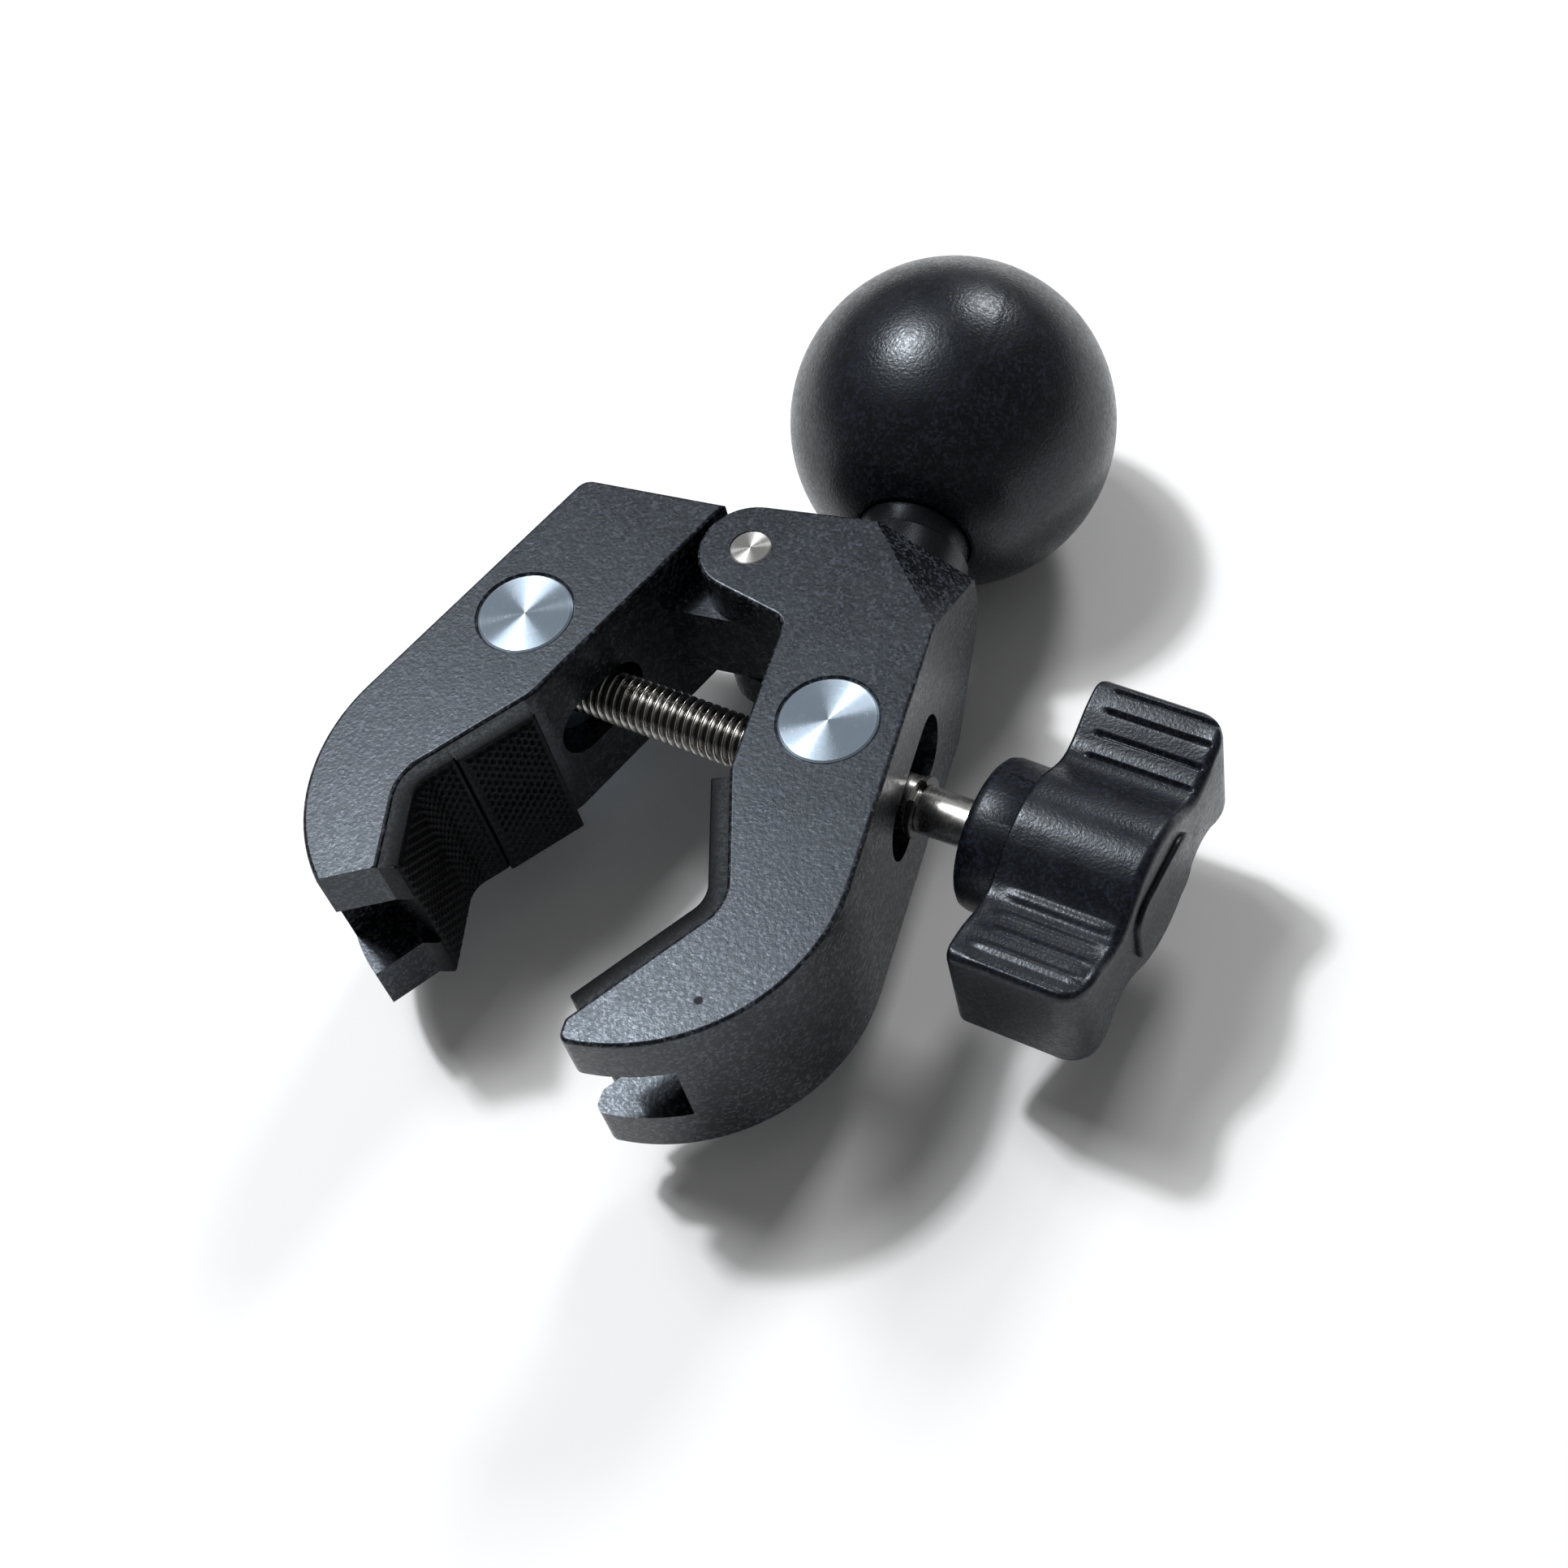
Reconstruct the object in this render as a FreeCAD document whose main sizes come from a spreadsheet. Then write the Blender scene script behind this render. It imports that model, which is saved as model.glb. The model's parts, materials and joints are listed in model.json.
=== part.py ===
"""Jaw clamp with a ball head: two aluminium jaws on a hinge pin, drawn together by a knob screw.

Frame: origin at the centre of the ball, +Y along the stem and away from the jaws, +X towards the
knob, +Z square to the flat faces of the jaws. The clamp lies on its side. Millimetres.
"""
import FreeCAD, Part
import os
import re

import Sketcher
from FreeCAD import Placement, Rotation, Vector

# Driving sizes. Lengths in millimetres, angles in degrees.
SIZES = {
    "jaw_thick": 22.0,         # both jaws, face to face
    "ear_radius": 5.9,         # rounded end about the hinge pin; the stem end is flush with it
    "jaw_inner": 6.5,          # hinge axis to the inner side of a jaw
    "jaw_outer": 22.7,         # hinge axis to the outer side of a jaw
    "throat_start": 28.0,      # where the inner side starts to hollow out
    "valley_x": 11.2,          # deepest corner of the hollow
    "valley_y": 43.7,
    "hook_radius": 22.0,       # big outer round of a jaw
    "fixed_reach": 61.5,       # hinge axis to the end of the fixed jaw
    "fixed_tip_x": -0.6,
    "fixed_tip_y": 59.0,
    "moving_reach": 59.4,      # hinge axis to the end of the moving jaw
    "moving_slope": 1.4,       # of the inner side beyond the hollow
    "nose_x": -0.6,            # blank of the moving jaw's nose, before its end faces are cut
    "moving_tip_x": 4.6,       # inner end of both prongs
    "lower_lean": 1.6,         # how far their end faces lean back to the outer side
    "upper_lean": 5.6,
    "heel_drop": 6.0,          # slant of the moving jaw's end face
    "open_angle": 24.4,        # the moving jaw at rest, away from parallel
    "ear_slope": 0.38,
    "pivot_x": 14.9,           # cross barrels, the same in both jaws
    "pivot_y": 20.6,
    "barrel_radius": 5.3,
    "pin_radius": 2.35,
    "tongue_thick": 10.0,
    "tongue_gap": 0.25,
    "web_gap": 0.4,
    "window_high": 7.5,        # slots for the screw
    "window_fixed": 17.5,
    "window_moving": 12.6,
    "window_rise": 0.4,
    "notch_high": 9.0,         # channel across the tips
    "notch_deep": 8.0,
    "facet_x": 10.2,           # oblique corner between a flat face and the outer side
    "facet_y": 13.2,
    "facet_z": 8.4,
    "edge_round": 0.45,
    "edge_break": 0.2,         # small chamfer on turned pieces
    "overshoot": 5.0,          # how far a cut runs out past the metal
    "running_gap": 0.05,
    "seat_gap": 0.01,
    "pad_thick": 2.0,
    "pad_step": 0.5,
    "pad_split": 10.5,         # throat corner to the joint between the moving jaw's two pads
    "pad_lead": 1.0,           # bare metal before the pad
    "pad_back": 1.7,           # bare metal between the fixed pad and the tip
    "pad_inset": 0.3,
    "ball_radius": 19.05,
    "ball_out": 24.2,          # end face of the jaw to the centre of the ball
    "stem_x": 13.6,            # hinge axis to the stem axis
    "core_radius": 13.0,
    "neck_radius": 6.5,
    "ring_radius": 7.2,
    "ring_long": 3.9,
    "stud_radius": 3.97,
    "stud_in_jaw": 10.0,
    "stud_in_core": 12.0,
    "thread_radius": 3.0,      # M6 x 1
    "shank_radius": 2.65,
    "bore_radius": 3.1,
    "groove_deep": 0.35,       # of the clips' grooves in the shank
    "barrel_flat": 4.9,
    "barrel_sink": 0.05,       # end face of a barrel below the face of the jaw
    "clip_thick": 0.7,
    "clip_radius": 3.45,
    "sleeve_long": 4.0,
    "screw_tail": 47.9,        # trunnion axis to the end of the screw: past the nut at full opening
    "hub_front": 17.0,         # trunnion axis to the front of the hub
    "hub_radius": 8.4,
    "wing_front": 21.9,
    "wing_back": 36.7,
    "wing_half": 18.25,
    "wing_thick": 13.5,        # at the tips
    "wing_flat": 15.0,         # screw axis to where the thick tip starts
    "waist_thick": 9.7,        # at the finger hollows beside the hub
    "waist_at": 9.3,
    "wing_round": 3.0,         # corners of the wing towards the outer end
    "wing_round_front": 1.0,
    "insert_radius": 5.0,
    "insert_long": 12.0,
    "cap_thick": 0.6,
    "cap_half": 6.3,
    "cap_high": 9.4,
    "cap_plug": 6.0,
}

doc = FreeCAD.newDocument("clamp")
sheet = doc.addObject("Spreadsheet::Sheet", "sizes")
for row, (alias, number) in enumerate(SIZES.items(), start=1):
    sheet.set(f"A{row}", alias)
    sheet.set(f"B{row}", str(number))
    sheet.setAlias(f"B{row}", alias)
doc.recompute()


def bound(text):
    """An expression in the sheet's aliases, as FreeCAD wants it."""
    return re.sub(r"[a-z]\w*", lambda m: ("sizes." if m.group() in SIZES else "") + m.group(), str(text))


def size(text):
    """The number that an expression in the sheet's aliases stands for."""
    return float(sheet.evalExpression(bound(text)))


def bind(thing, **sizes):
    """Tie properties of an object to expressions in the sheet's aliases."""
    for name, text in sizes.items():
        thing.setExpression(name, bound(text))


def plane(body, role):
    return next(f for f in body.Origin.OriginFeatures if f.Role == role)


def outline(body, name, corners, role="XY_Plane"):
    """A closed sketch through corners given as pairs of expressions."""
    sketch = body.newObject("Sketcher::SketchObject", name)
    sketch.AttachmentSupport = [(plane(body, role), "")]
    sketch.MapMode = "FlatFace"
    points = [Vector(size(across), size(up), 0) for across, up in corners]
    count = len(points)
    for i in range(count):
        sketch.addGeometry(Part.LineSegment(points[i], points[(i + 1) % count]), False)
    for i in range(count):
        sketch.addConstraint(Sketcher.Constraint("Coincident", i, 2, (i + 1) % count, 1))
    for i, (across, up) in enumerate(corners):
        for kind, letter, text, value in (("DistanceX", "x", across, points[i].x),
                                          ("DistanceY", "y", up, points[i].y)):
            index = sketch.addConstraint(Sketcher.Constraint(kind, -1, 1, i, 1, value))
            sketch.renameConstraint(index, f"{letter}{i}")
            sketch.setExpression(f"Constraints.{letter}{i}", bound(text))
    return sketch


def pad(body, name, sketch, thick):
    """Material on both sides of the sketch's plane."""
    feature = body.newObject("PartDesign::Pad", name)
    feature.Profile = sketch
    feature.SideType = "Symmetric"
    bind(feature, Length=thick)
    doc.recompute()


def cut(body, kind, name, settings, **sizes):
    """Adds a cutting feature, which must take material away."""
    before = body.Tip.Shape.Volume
    feature = body.newObject(kind, name)
    for key, value in settings.items():
        setattr(feature, key, value)
    bind(feature, **sizes)
    doc.recompute()
    if feature.Shape.Volume > before - 0.01:
        raise RuntimeError(f"{name} cuts nothing")


def pocket(body, name, sketch, deep, upward=False):
    """A cut on both sides of the sketch's plane, or only above it."""
    settings = {"Profile": sketch, "SideType": "One side" if upward else "Symmetric", "Reversed": upward}
    cut(body, "PartDesign::Pocket", name, settings, Length=deep)


def fillet(body, name, radius, wanted):
    """Round the edges of the body so far for which wanted(edge) holds."""
    base = body.Tip
    names = [f"Edge{i}" for i, edge in enumerate(base.Shape.Edges, start=1) if wanted(edge)]
    if not names:
        raise RuntimeError(f"{name} finds no edge")
    feature = body.newObject("PartDesign::Fillet", name)
    feature.Base = (base, names)
    bind(feature, Radius=radius)
    doc.recompute()


def upright_at(across, up):
    """Picks the edge along Z that stands over a corner of the outline."""
    where = Vector(size(across), size(up), 0)

    def wanted(edge):
        ends = [Vector(v.X, v.Y, 0) for v in edge.Vertexes]
        return len(ends) == 2 and all(end.distanceToPoint(where) < 0.01 for end in ends)

    return wanted


def on_faces(thick):
    """Picks the edges that lie in the two flat faces."""
    half = size(thick) / 2
    return lambda edge: all(abs(abs(v.Z) - half) < 1e-4 for v in edge.Vertexes) and \
        abs(abs(edge.CenterOfMass.z) - half) < 1e-4


def bore(body, name, centre, radius, long="jaw_thick + 2", axis=Vector(0, 0, 1)):
    """A round hole that reaches as far on both sides of centre, given as three expressions."""
    start = Vector(*(size(text) for text in centre)) - axis * (size(long) / 2)
    settings = {"Placement": Placement(start, Rotation(Vector(0, 0, 1), axis))}
    cut(body, "PartDesign::SubtractiveCylinder", name, settings, Radius=radius, Height=long)


def slot(body, name, low, top, high, long, role, axis):
    """A round-ended slot: low and top are its two end centres along the sketch's first direction."""
    half = f"({high}) / 2"
    corners = [(low, f"-{half}"), (top, f"-{half}"), (top, half), (low, half)]
    pocket(body, name, outline(body, name + "_outline", corners, role), long)
    for end, up in (("low", low), ("top", top)):
        bore(body, f"{name}_{end}", ("0", up, "0"), half, long, axis)


def new_body(label):
    body = doc.addObject("PartDesign::Body", label)
    body.Label = label
    return body


# Where the pieces stand. The hinge pin and both barrels run along Z.
hinge = Vector(-size("stem_x"), -size("ear_radius + ball_out"), 0)
open_angle = size("open_angle")
screw_turn = Rotation(Vector(0, 0, 1), -open_angle / 2)
jaw_turn = Rotation(Vector(0, 0, 1), -open_angle)
trunnion_at = hinge + Vector(size("pivot_x"), -size("pivot_y"), 0)
nut_at = hinge + jaw_turn.multVec(Vector(-size("pivot_x"), -size("pivot_y"), 0))
on_hinge = Placement(hinge, Rotation())
on_moving = Placement(hinge, jaw_turn)
on_screw = Placement(trunnion_at, screw_turn)
print(f"barrels {trunnion_at.distanceToPoint(nut_at):.2f} apart")


def jaw_blank(body, sign, corners, reach, heel):
    """The plate of a jaw: outline, rounds in plan, softened face edges. sign is +1 on the fixed side."""
    pad(body, "plate", outline(body, "plate_outline", corners), "jaw_thick")
    inner, outer = (f"{sign} * jaw_inner", f"{sign} * jaw_outer")
    fillet(body, "hook", "hook_radius", upright_at(outer, f"-{reach}"))
    fillet(body, "valley", "hook_radius / 4", upright_at(f"{sign} * valley_x", "-valley_y"))
    fillet(body, "throat", "hook_radius / 5", upright_at(inner, "-throat_start"))
    for name, radius, across, up in heel:
        fillet(body, name, radius, upright_at(across, up))


def window(body, name, sign, long):
    """The slot along X that lets the screw swing."""
    mid = f"-(pivot_y - window_rise * {sign})"
    reach = f"(({long}) - window_high) / 2"
    slot(body, name, f"{mid} - {reach}", f"{mid} + {reach}", "window_high", "3 * jaw_outer", "YZ_Plane",
         Vector(1, 0, 0))


def barrel_hole(body, sign):
    """The cross hole of a barrel, with a broken edge at both mouths."""
    bore(body, "barrel_hole", (f"{sign} * pivot_x", "-pivot_y", "0"), "barrel_radius + running_gap")
    base = body.Tip
    radius, half = size("barrel_radius + running_gap"), size("jaw_thick / 2")
    names = [f"Edge{i}" for i, edge in enumerate(base.Shape.Edges, start=1)
             if hasattr(edge.Curve, "Radius") and abs(edge.Curve.Radius - radius) < 1e-4
             and abs(abs(edge.CenterOfMass.z) - half) < 1e-3]
    feature = body.newObject("PartDesign::Chamfer", "barrel_mouths")
    feature.Base = (base, names)
    bind(feature, Size="running_gap * 5")
    doc.recompute()


# Fixed jaw: hook-shaped plate with a fork for the hinge, a tapped end for the stem and a window
# for the screw.
LEAN = "sqrt(1 + ear_slope * ear_slope)"
fixed = new_body("fixed_jaw")
crotch = ("jaw_inner", f"-(ear_radius * {LEAN} + ear_slope * jaw_inner)")
ear_low = ("-ear_radius", f"-ear_radius * ({LEAN} - ear_slope)")
ear_top = ("-ear_radius", "ear_radius")
tip_low = ("fixed_tip_x", "-fixed_reach")
tip_top = ("fixed_tip_x", "-fixed_tip_y")
jaw_blank(fixed, 1, [
    ear_top, ear_low, crotch, ("jaw_inner", "-throat_start"), ("valley_x", "-valley_y"), tip_top, tip_low,
    ("jaw_outer", "-fixed_reach"), ("jaw_outer", "ear_radius"),
], "fixed_reach", [
    ("ear_top", "ear_radius - 0.02", *ear_top), ("ear_low", "ear_radius - 0.02", *ear_low),
    ("crotch", "ear_radius / 3", *crotch), ("tip_low", "edge_round * 2.4", *tip_low),
    ("tip_top", "edge_round * 2", *tip_top),
])
fillet(fixed, "face_edges", "edge_round", on_faces("jaw_thick"))


def facet(side):
    """An oblique cut across the outer stem corner, on the face at side +1 or -1."""
    corner = Vector(size("jaw_outer"), size("ear_radius"), side * size("jaw_thick / 2"))
    along_x = corner - Vector(size("facet_x"), 0, 0)
    along_y = corner - Vector(0, size("facet_y"), 0)
    along_z = corner - Vector(0, 0, side * size("facet_z"))
    normal = (along_y - along_x).cross(along_z - along_x).normalize()
    if normal.dot(corner - along_x) < 0:
        normal = -normal
    block = fixed.newObject("PartDesign::SubtractiveBox", f"facet_{'top' if side > 0 else 'under'}")
    bind(block, Length="jaw_outer * 2", Width="jaw_outer * 2", Height="jaw_outer")
    turn = Rotation(Vector(0, 0, 1), normal)
    middle = turn.multVec(Vector(size("jaw_outer"), size("jaw_outer"), 0))
    block.Placement = Placement(along_x - middle, turn)
    doc.recompute()


for side in (1, -1):
    facet(side)

# The fork: the tongue of the moving jaw swings in it about the pin.
fork_reach, fork_high = "ear_radius + web_gap", "tongue_thick + 2 * tongue_gap"
pocket(fixed, "fork", outline(fixed, "fork_outline", [
    ("-2 * ear_radius", "-2 * ear_radius"), ("3 * web_gap", "-2 * ear_radius"), ("3 * web_gap", "0"),
    ("0", fork_reach), ("-2 * ear_radius", fork_reach),
]), fork_high)
bore(fixed, "fork_root", ("0", "0", "0"), fork_reach, fork_high)
window(fixed, "window", 1, "window_fixed")
bore(fixed, "pin_hole", ("0", "0", "0"), "pin_radius + seat_gap")
barrel_hole(fixed, 1)
NOTCH_FIXED = [
    ("fixed_tip_x - overshoot", "-fixed_reach - overshoot"),
    ("fixed_tip_x + 1.5 * notch_deep", "-fixed_reach - overshoot"),
    ("fixed_tip_x + notch_deep", "-fixed_tip_y + notch_deep"),
    ("fixed_tip_x - overshoot", "-fixed_tip_y + notch_deep"),
]
pocket(fixed, "tip_notch", outline(fixed, "notch_outline", NOTCH_FIXED), "notch_high")
bore(fixed, "stud_hole", ("stem_x", "ear_radius - stud_in_jaw / 2 + 0.5", "0"), "stud_radius + seat_gap",
     "stud_in_jaw + 1", Vector(0, 1, 0))
fixed.Placement = on_hinge

# Moving jaw: the mirrored hook with a slanted heel and a round-ended tongue between the ears.
moving = new_body("moving_jaw")
heel_in, heel_out = ("-jaw_inner", "heel_drop / 2"), ("-jaw_outer", "-heel_drop / 2")
nose_top = ("nose_x", "-(valley_y + (valley_x + nose_x) * moving_slope)")
nose_low = ("nose_x", "-moving_reach")
jaw_blank(moving, -1, [
    heel_in, heel_out, ("-jaw_outer", "-moving_reach"), nose_low, nose_top,
    ("-valley_x", "-valley_y"), ("-jaw_inner", "-throat_start"),
], "moving_reach", [("heel_out", "edge_round * 4", *heel_out)])


def cut_nose(name, lean, upward=False):
    """The slanted end face of the prongs, from the inner side at moving_tip_x to lean further out."""
    inside = ("-moving_tip_x", "-(valley_y + (valley_x - moving_tip_x) * moving_slope)")
    pocket(moving, name, outline(moving, name + "_outline", [
        inside, (f"-moving_tip_x - {lean}", "-moving_reach"),
        (f"-moving_tip_x - {lean}", "-moving_reach - overshoot"),
        ("moving_tip_x", "-moving_reach - overshoot"), ("moving_tip_x", inside[1]),
    ]), "jaw_thick + 2", upward)


cut_nose("lower_prong", "lower_lean")
fillet(moving, "face_edges", "edge_round", on_faces("jaw_thick"))
pad(moving, "tongue", outline(moving, "tongue_outline", [
    ("-jaw_inner - 1", f"-(ear_radius * {LEAN} + ear_slope * (jaw_inner + 1))"),
    (f"ear_radius * ear_slope / {LEAN}", f"-ear_radius / {LEAN}"), ("0", "0"),
    ("0", "ear_radius - 0.01"), ("-jaw_inner / 2", "ear_radius - 0.01"), ("-jaw_inner - 1", "heel_drop / 2"),
]), "tongue_thick")
end = moving.newObject("PartDesign::AdditiveCylinder", "tongue_end")
bind(end, Radius="ear_radius", Height="tongue_thick")
end.Placement = Placement(Vector(0, 0, -size("tongue_thick / 2")), Rotation())
doc.recompute()
window(moving, "window", 0, "window_moving")
bore(moving, "pin_hole", ("0", "0", "0"), "pin_radius + running_gap")
barrel_hole(moving, -1)
NOTCH_MOVING = [
    ("moving_tip_x", "-moving_reach - overshoot"),
    ("-moving_tip_x - notch_deep", "-moving_reach - overshoot"),
    ("-moving_tip_x - 0.75 * notch_deep", "-moving_reach + notch_deep"),
    ("moving_tip_x", "-moving_reach + notch_deep"),
]
pocket(moving, "tip_notch", outline(moving, "notch_outline", NOTCH_MOVING), "notch_high")
cut_nose("upper_prong", "upper_lean", upward=True)
moving.Placement = on_moving


def pad_strip(label, sign, line, thick, where, notch=None):
    """A rubber strip glued along a run of the inner side; line holds its points in the jaw's plane."""
    steps = [(b - a).normalize() for a, b in zip(line, line[1:])]
    normals = [Vector(sign * step.y, -sign * step.x, 0) for step in steps]
    front = [line[0] + normals[0] * size(thick)]
    for i in range(1, len(steps)):
        both = normals[i - 1] + normals[i]
        front.append(line[i] + both * (size(thick) / (1 + normals[i - 1].dot(normals[i]))))
    front.append(line[-1] + normals[-1] * size(thick))
    corners = [(f"{p.x:.7f}", f"{p.y:.7f}") for p in line + front[::-1]]
    body = new_body(label)
    pad(body, "strip", outline(body, "strip_outline", corners), "jaw_thick - 2 * pad_inset")
    if len(line) == 3:
        fillet(body, "back_bend", "hook_radius / 4", upright_at(*corners[1]))
        fillet(body, "front_bend", f"hook_radius / 4 - ({thick})", upright_at(*corners[4]))
    if notch:
        pocket(body, "tip_notch", outline(body, "notch_outline", notch), "notch_high")
    body.Placement = where
    return body


def along(start, end, distance):
    return start + (end - start).normalize() * distance


lead = size("pad_lead")
throat = Vector(size("jaw_inner"), -size("throat_start"), 0)
valley = Vector(size("valley_x"), -size("valley_y"), 0)
tip = Vector(size("fixed_tip_x"), -size("fixed_tip_y"), 0)
fixed_pad = pad_strip("fixed_jaw_pad", 1, [
    along(throat, valley, lead), valley, along(tip, valley, size("pad_back")),
], "pad_thick", on_hinge, NOTCH_FIXED)
throat, valley = Vector(-throat.x, throat.y, 0), Vector(-valley.x, valley.y, 0)
tip = Vector(-size("moving_tip_x"), size("-(valley_y + (valley_x - moving_tip_x) * moving_slope)"), 0)
split = along(throat, valley, size("pad_split"))
inner_pad = pad_strip("moving_jaw_inner_pad", -1, [along(throat, valley, lead), split],
                      "pad_thick + pad_step", on_moving)
tip_pad = pad_strip("moving_jaw_tip_pad", -1, [along(split, valley, size("seat_gap")), valley, tip],
                    "pad_thick", on_moving, NOTCH_MOVING)


def turned(label, profile, where, role="XY_Plane"):
    """A piece turned about its own X axis; the profile gives (along the axis, radius) pairs."""
    body = new_body(label)
    sketch = outline(body, "profile", profile, role)
    feature = body.newObject("PartDesign::Revolution", "turning")
    feature.Profile = sketch
    feature.ReferenceAxis = (sketch, ["H_Axis"])
    feature.Angle = 360
    doc.recompute()
    body.Placement = where
    return body


def rod(half, radius, chamfer):
    """Profile of a rod centred on its length, with chamfered ends."""
    low = f"-({half})"
    return [(low, "0"), (half, "0"), (half, f"{radius} - {chamfer}"), (f"{half} - {chamfer}", radius),
            (f"{low} + {chamfer}", radius), (low, f"{radius} - {chamfer}")]


def ring(start, end, hole, radius, chamfer):
    """Profile of a collar, with both outer corners chamfered."""
    return [(start, hole), (end, hole), (end, f"{radius} - {chamfer}"), (f"{end} - {chamfer}", radius),
            (f"{start} + {chamfer}", radius), (start, f"{radius} - {chamfer}")]


# Hinge pin and the two cross barrels, all along Z.
upright = Rotation(Vector(1, 0, 0), Vector(0, 0, 1))
pin = turned("hinge_pin", rod("jaw_thick / 2", "pin_radius", "edge_break"), Placement(hinge, upright))


def barrel(label, where, hole, flats):
    """A cross barrel with a hole for the screw; flats are spot faces that the clips run on."""
    body = turned(label, rod("jaw_thick / 2 - barrel_sink", "barrel_radius", "edge_break"),
                  Placement(where, screw_turn * upright))
    if flats:
        reach = "(clip_radius + 3 * running_gap)"
        for name, side in (("flat_near", 1), ("flat_far", -1)):
            face, out = f"{side} * barrel_flat", f"{side} * (barrel_flat + barrel_radius)"
            pocket(body, name, outline(body, name + "_outline", [
                (f"-{reach}", face), (reach, face), (reach, out), (f"-{reach}", out)], "XZ_Plane"),
                "3 * barrel_radius")
    bore(body, "cross_hole", ("0", "0", "0"), hole, "3 * barrel_radius")
    return body


trunnion = barrel("swivel_trunnion", trunnion_at, "bore_radius", True)
nut = barrel("barrel_nut", nut_at, "thread_radius + running_gap", False)

# Screw: thread from the tail to the trunnion, then a plain shank; grooves hold three clips.
clip_near = "(barrel_flat + running_gap)"
sleeve_end = f"({clip_near} + sleeve_long)"
screw_end = "(hub_front + insert_long)"
groove = "(shank_radius - groove_deep)"
profile = [("-screw_tail", "0"), (screw_end, "0"), (screw_end, "shank_radius"),
           (f"{sleeve_end} + clip_thick", "shank_radius"), (f"{sleeve_end} + clip_thick", groove),
           (sleeve_end, groove), (sleeve_end, "shank_radius"), (f"-{clip_near}", "shank_radius"),
           (f"-{clip_near}", groove), (f"-{clip_near} - clip_thick", groove),
           (f"-{clip_near} - clip_thick", "thread_radius"),
           ("-screw_tail + 3 * clip_thick", "thread_radius"), ("-screw_tail + 3 * clip_thick", groove),
           ("-screw_tail + 2 * clip_thick", groove), ("-screw_tail + 2 * clip_thick", "shank_radius"),
           ("-screw_tail", "shank_radius")]
screw = turned("clamp_screw", profile, on_screw)


def clip(label, start, end):
    """An open retaining ring in one of the screw's grooves."""
    body = turned(label, ring(start, end, f"{groove} + seat_gap", "clip_radius", "edge_break / 2"), on_screw)
    pocket(body, "mouth", outline(body, "mouth_outline", [
        ("-shank_radius / 2", "0"), ("shank_radius / 2", "0"), ("shank_radius / 2", "2 * clip_radius"),
        ("-shank_radius / 2", "2 * clip_radius")], "YZ_Plane"), "3 * screw_tail")
    return body


inner_clip = clip("inner_retaining_clip", f"-{clip_near} - clip_thick", f"-{clip_near}")
outer_clip = clip("outer_retaining_clip", sleeve_end, f"{sleeve_end} + clip_thick")
end_clip = clip("screw_end_clip", "-screw_tail + 2 * clip_thick", "-screw_tail + 3 * clip_thick")
sleeve = turned("thrust_sleeve", ring(clip_near, sleeve_end, "shank_radius + seat_gap",
                                      "clip_radius - 1.5 * edge_break", "edge_break"), on_screw)

# Knob: wing with a round hub, moulded on an insert, closed by a cap.
knob = turned("knob_body", [
    ("hub_front", "0"), ("wing_back", "0"), ("wing_back", "hub_radius"), ("hub_front + 1", "hub_radius"),
    ("hub_front", "hub_radius - 1")], on_screw)
quarter = [("wing_half", "wing_thick / 2"), ("wing_flat", "wing_thick / 2"), ("waist_at", "waist_thick / 2"),
           ("0.6 * hub_radius", "0.75 * hub_radius")]
right_to_left = quarter + [(f"-({across})", up) for across, up in quarter[::-1]]
section = outline(knob, "wing_section", right_to_left + [
    (across, f"-({up})") for across, up in right_to_left[::-1]], "YZ_Plane")
section.setExpression("AttachmentOffset.Base.z", bound("(wing_front + wing_back) / 2"))
pad(knob, "wing", section, "wing_back - wing_front")
fillet(knob, "waists", "wing_round", lambda edge: len(edge.Vertexes) == 2 and all(
    abs(abs(v.Y) - size("waist_at")) < 1e-4 and abs(abs(v.Z) - size("waist_thick / 2")) < 1e-4
    for v in edge.Vertexes))
for name, radius, end in (("corners_front", "wing_round_front", "wing_front"),
                          ("corners_back", "wing_round", "wing_back")):
    fillet(knob, name, radius, lambda edge: len(edge.Vertexes) == 2 and all(
        abs(abs(v.Y) - size("wing_half")) < 1e-4 and abs(v.X - size(end)) < 1e-4 for v in edge.Vertexes))
for name, middle, long in (("insert_seat", "hub_front + insert_long / 2", "insert_long"),
                           ("cap_seat", "wing_back - cap_plug / 2", "cap_plug")):
    bore(knob, name, (middle, "0", "0"), "insert_radius + seat_gap", long, Vector(1, 0, 0))
insert = turned("knob_insert", ring("hub_front", screw_end, "shank_radius + seat_gap", "insert_radius",
                                    "1.5 * edge_break"), on_screw)
cap = turned("knob_cap", rod("cap_plug / 2", "insert_radius", "1.5 * edge_break"), on_screw)
pad(cap, "cap_plate", outline(cap, "cap_outline", [
    ("cap_plug / 2", "-cap_half"), ("cap_plug / 2 + cap_thick", "-cap_half"),
    ("cap_plug / 2 + cap_thick", "cap_half"), ("cap_plug / 2", "cap_half")]), "cap_high")
fillet(cap, "cap_corners", "wing_round", lambda edge: len(edge.Vertexes) == 2 and all(
    abs(abs(v.Y) - size("cap_half")) < 1e-4 and abs(abs(v.Z) - size("cap_high / 2")) < 1e-4
    for v in edge.Vertexes) and abs(edge.Vertexes[0].X - edge.Vertexes[1].X) > size("cap_thick / 2"))
cap.Placement = Placement(on_screw.multVec(Vector(size("wing_back - cap_plug / 2"), 0, 0)), screw_turn)

# Ball head: rubber-like shell moulded over a metal core with a neck, a stud and a lock ring.
to_jaw = Placement(Vector(0, 0, 0), Rotation(Vector(0, 0, 1), Vector(0, -1, 0)))


def primitive(kind, name, start=0, **sizes):
    thing = doc.addObject(kind, name)
    bind(thing, **sizes)
    thing.Placement.Base = Vector(0, 0, start)
    return thing


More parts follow.
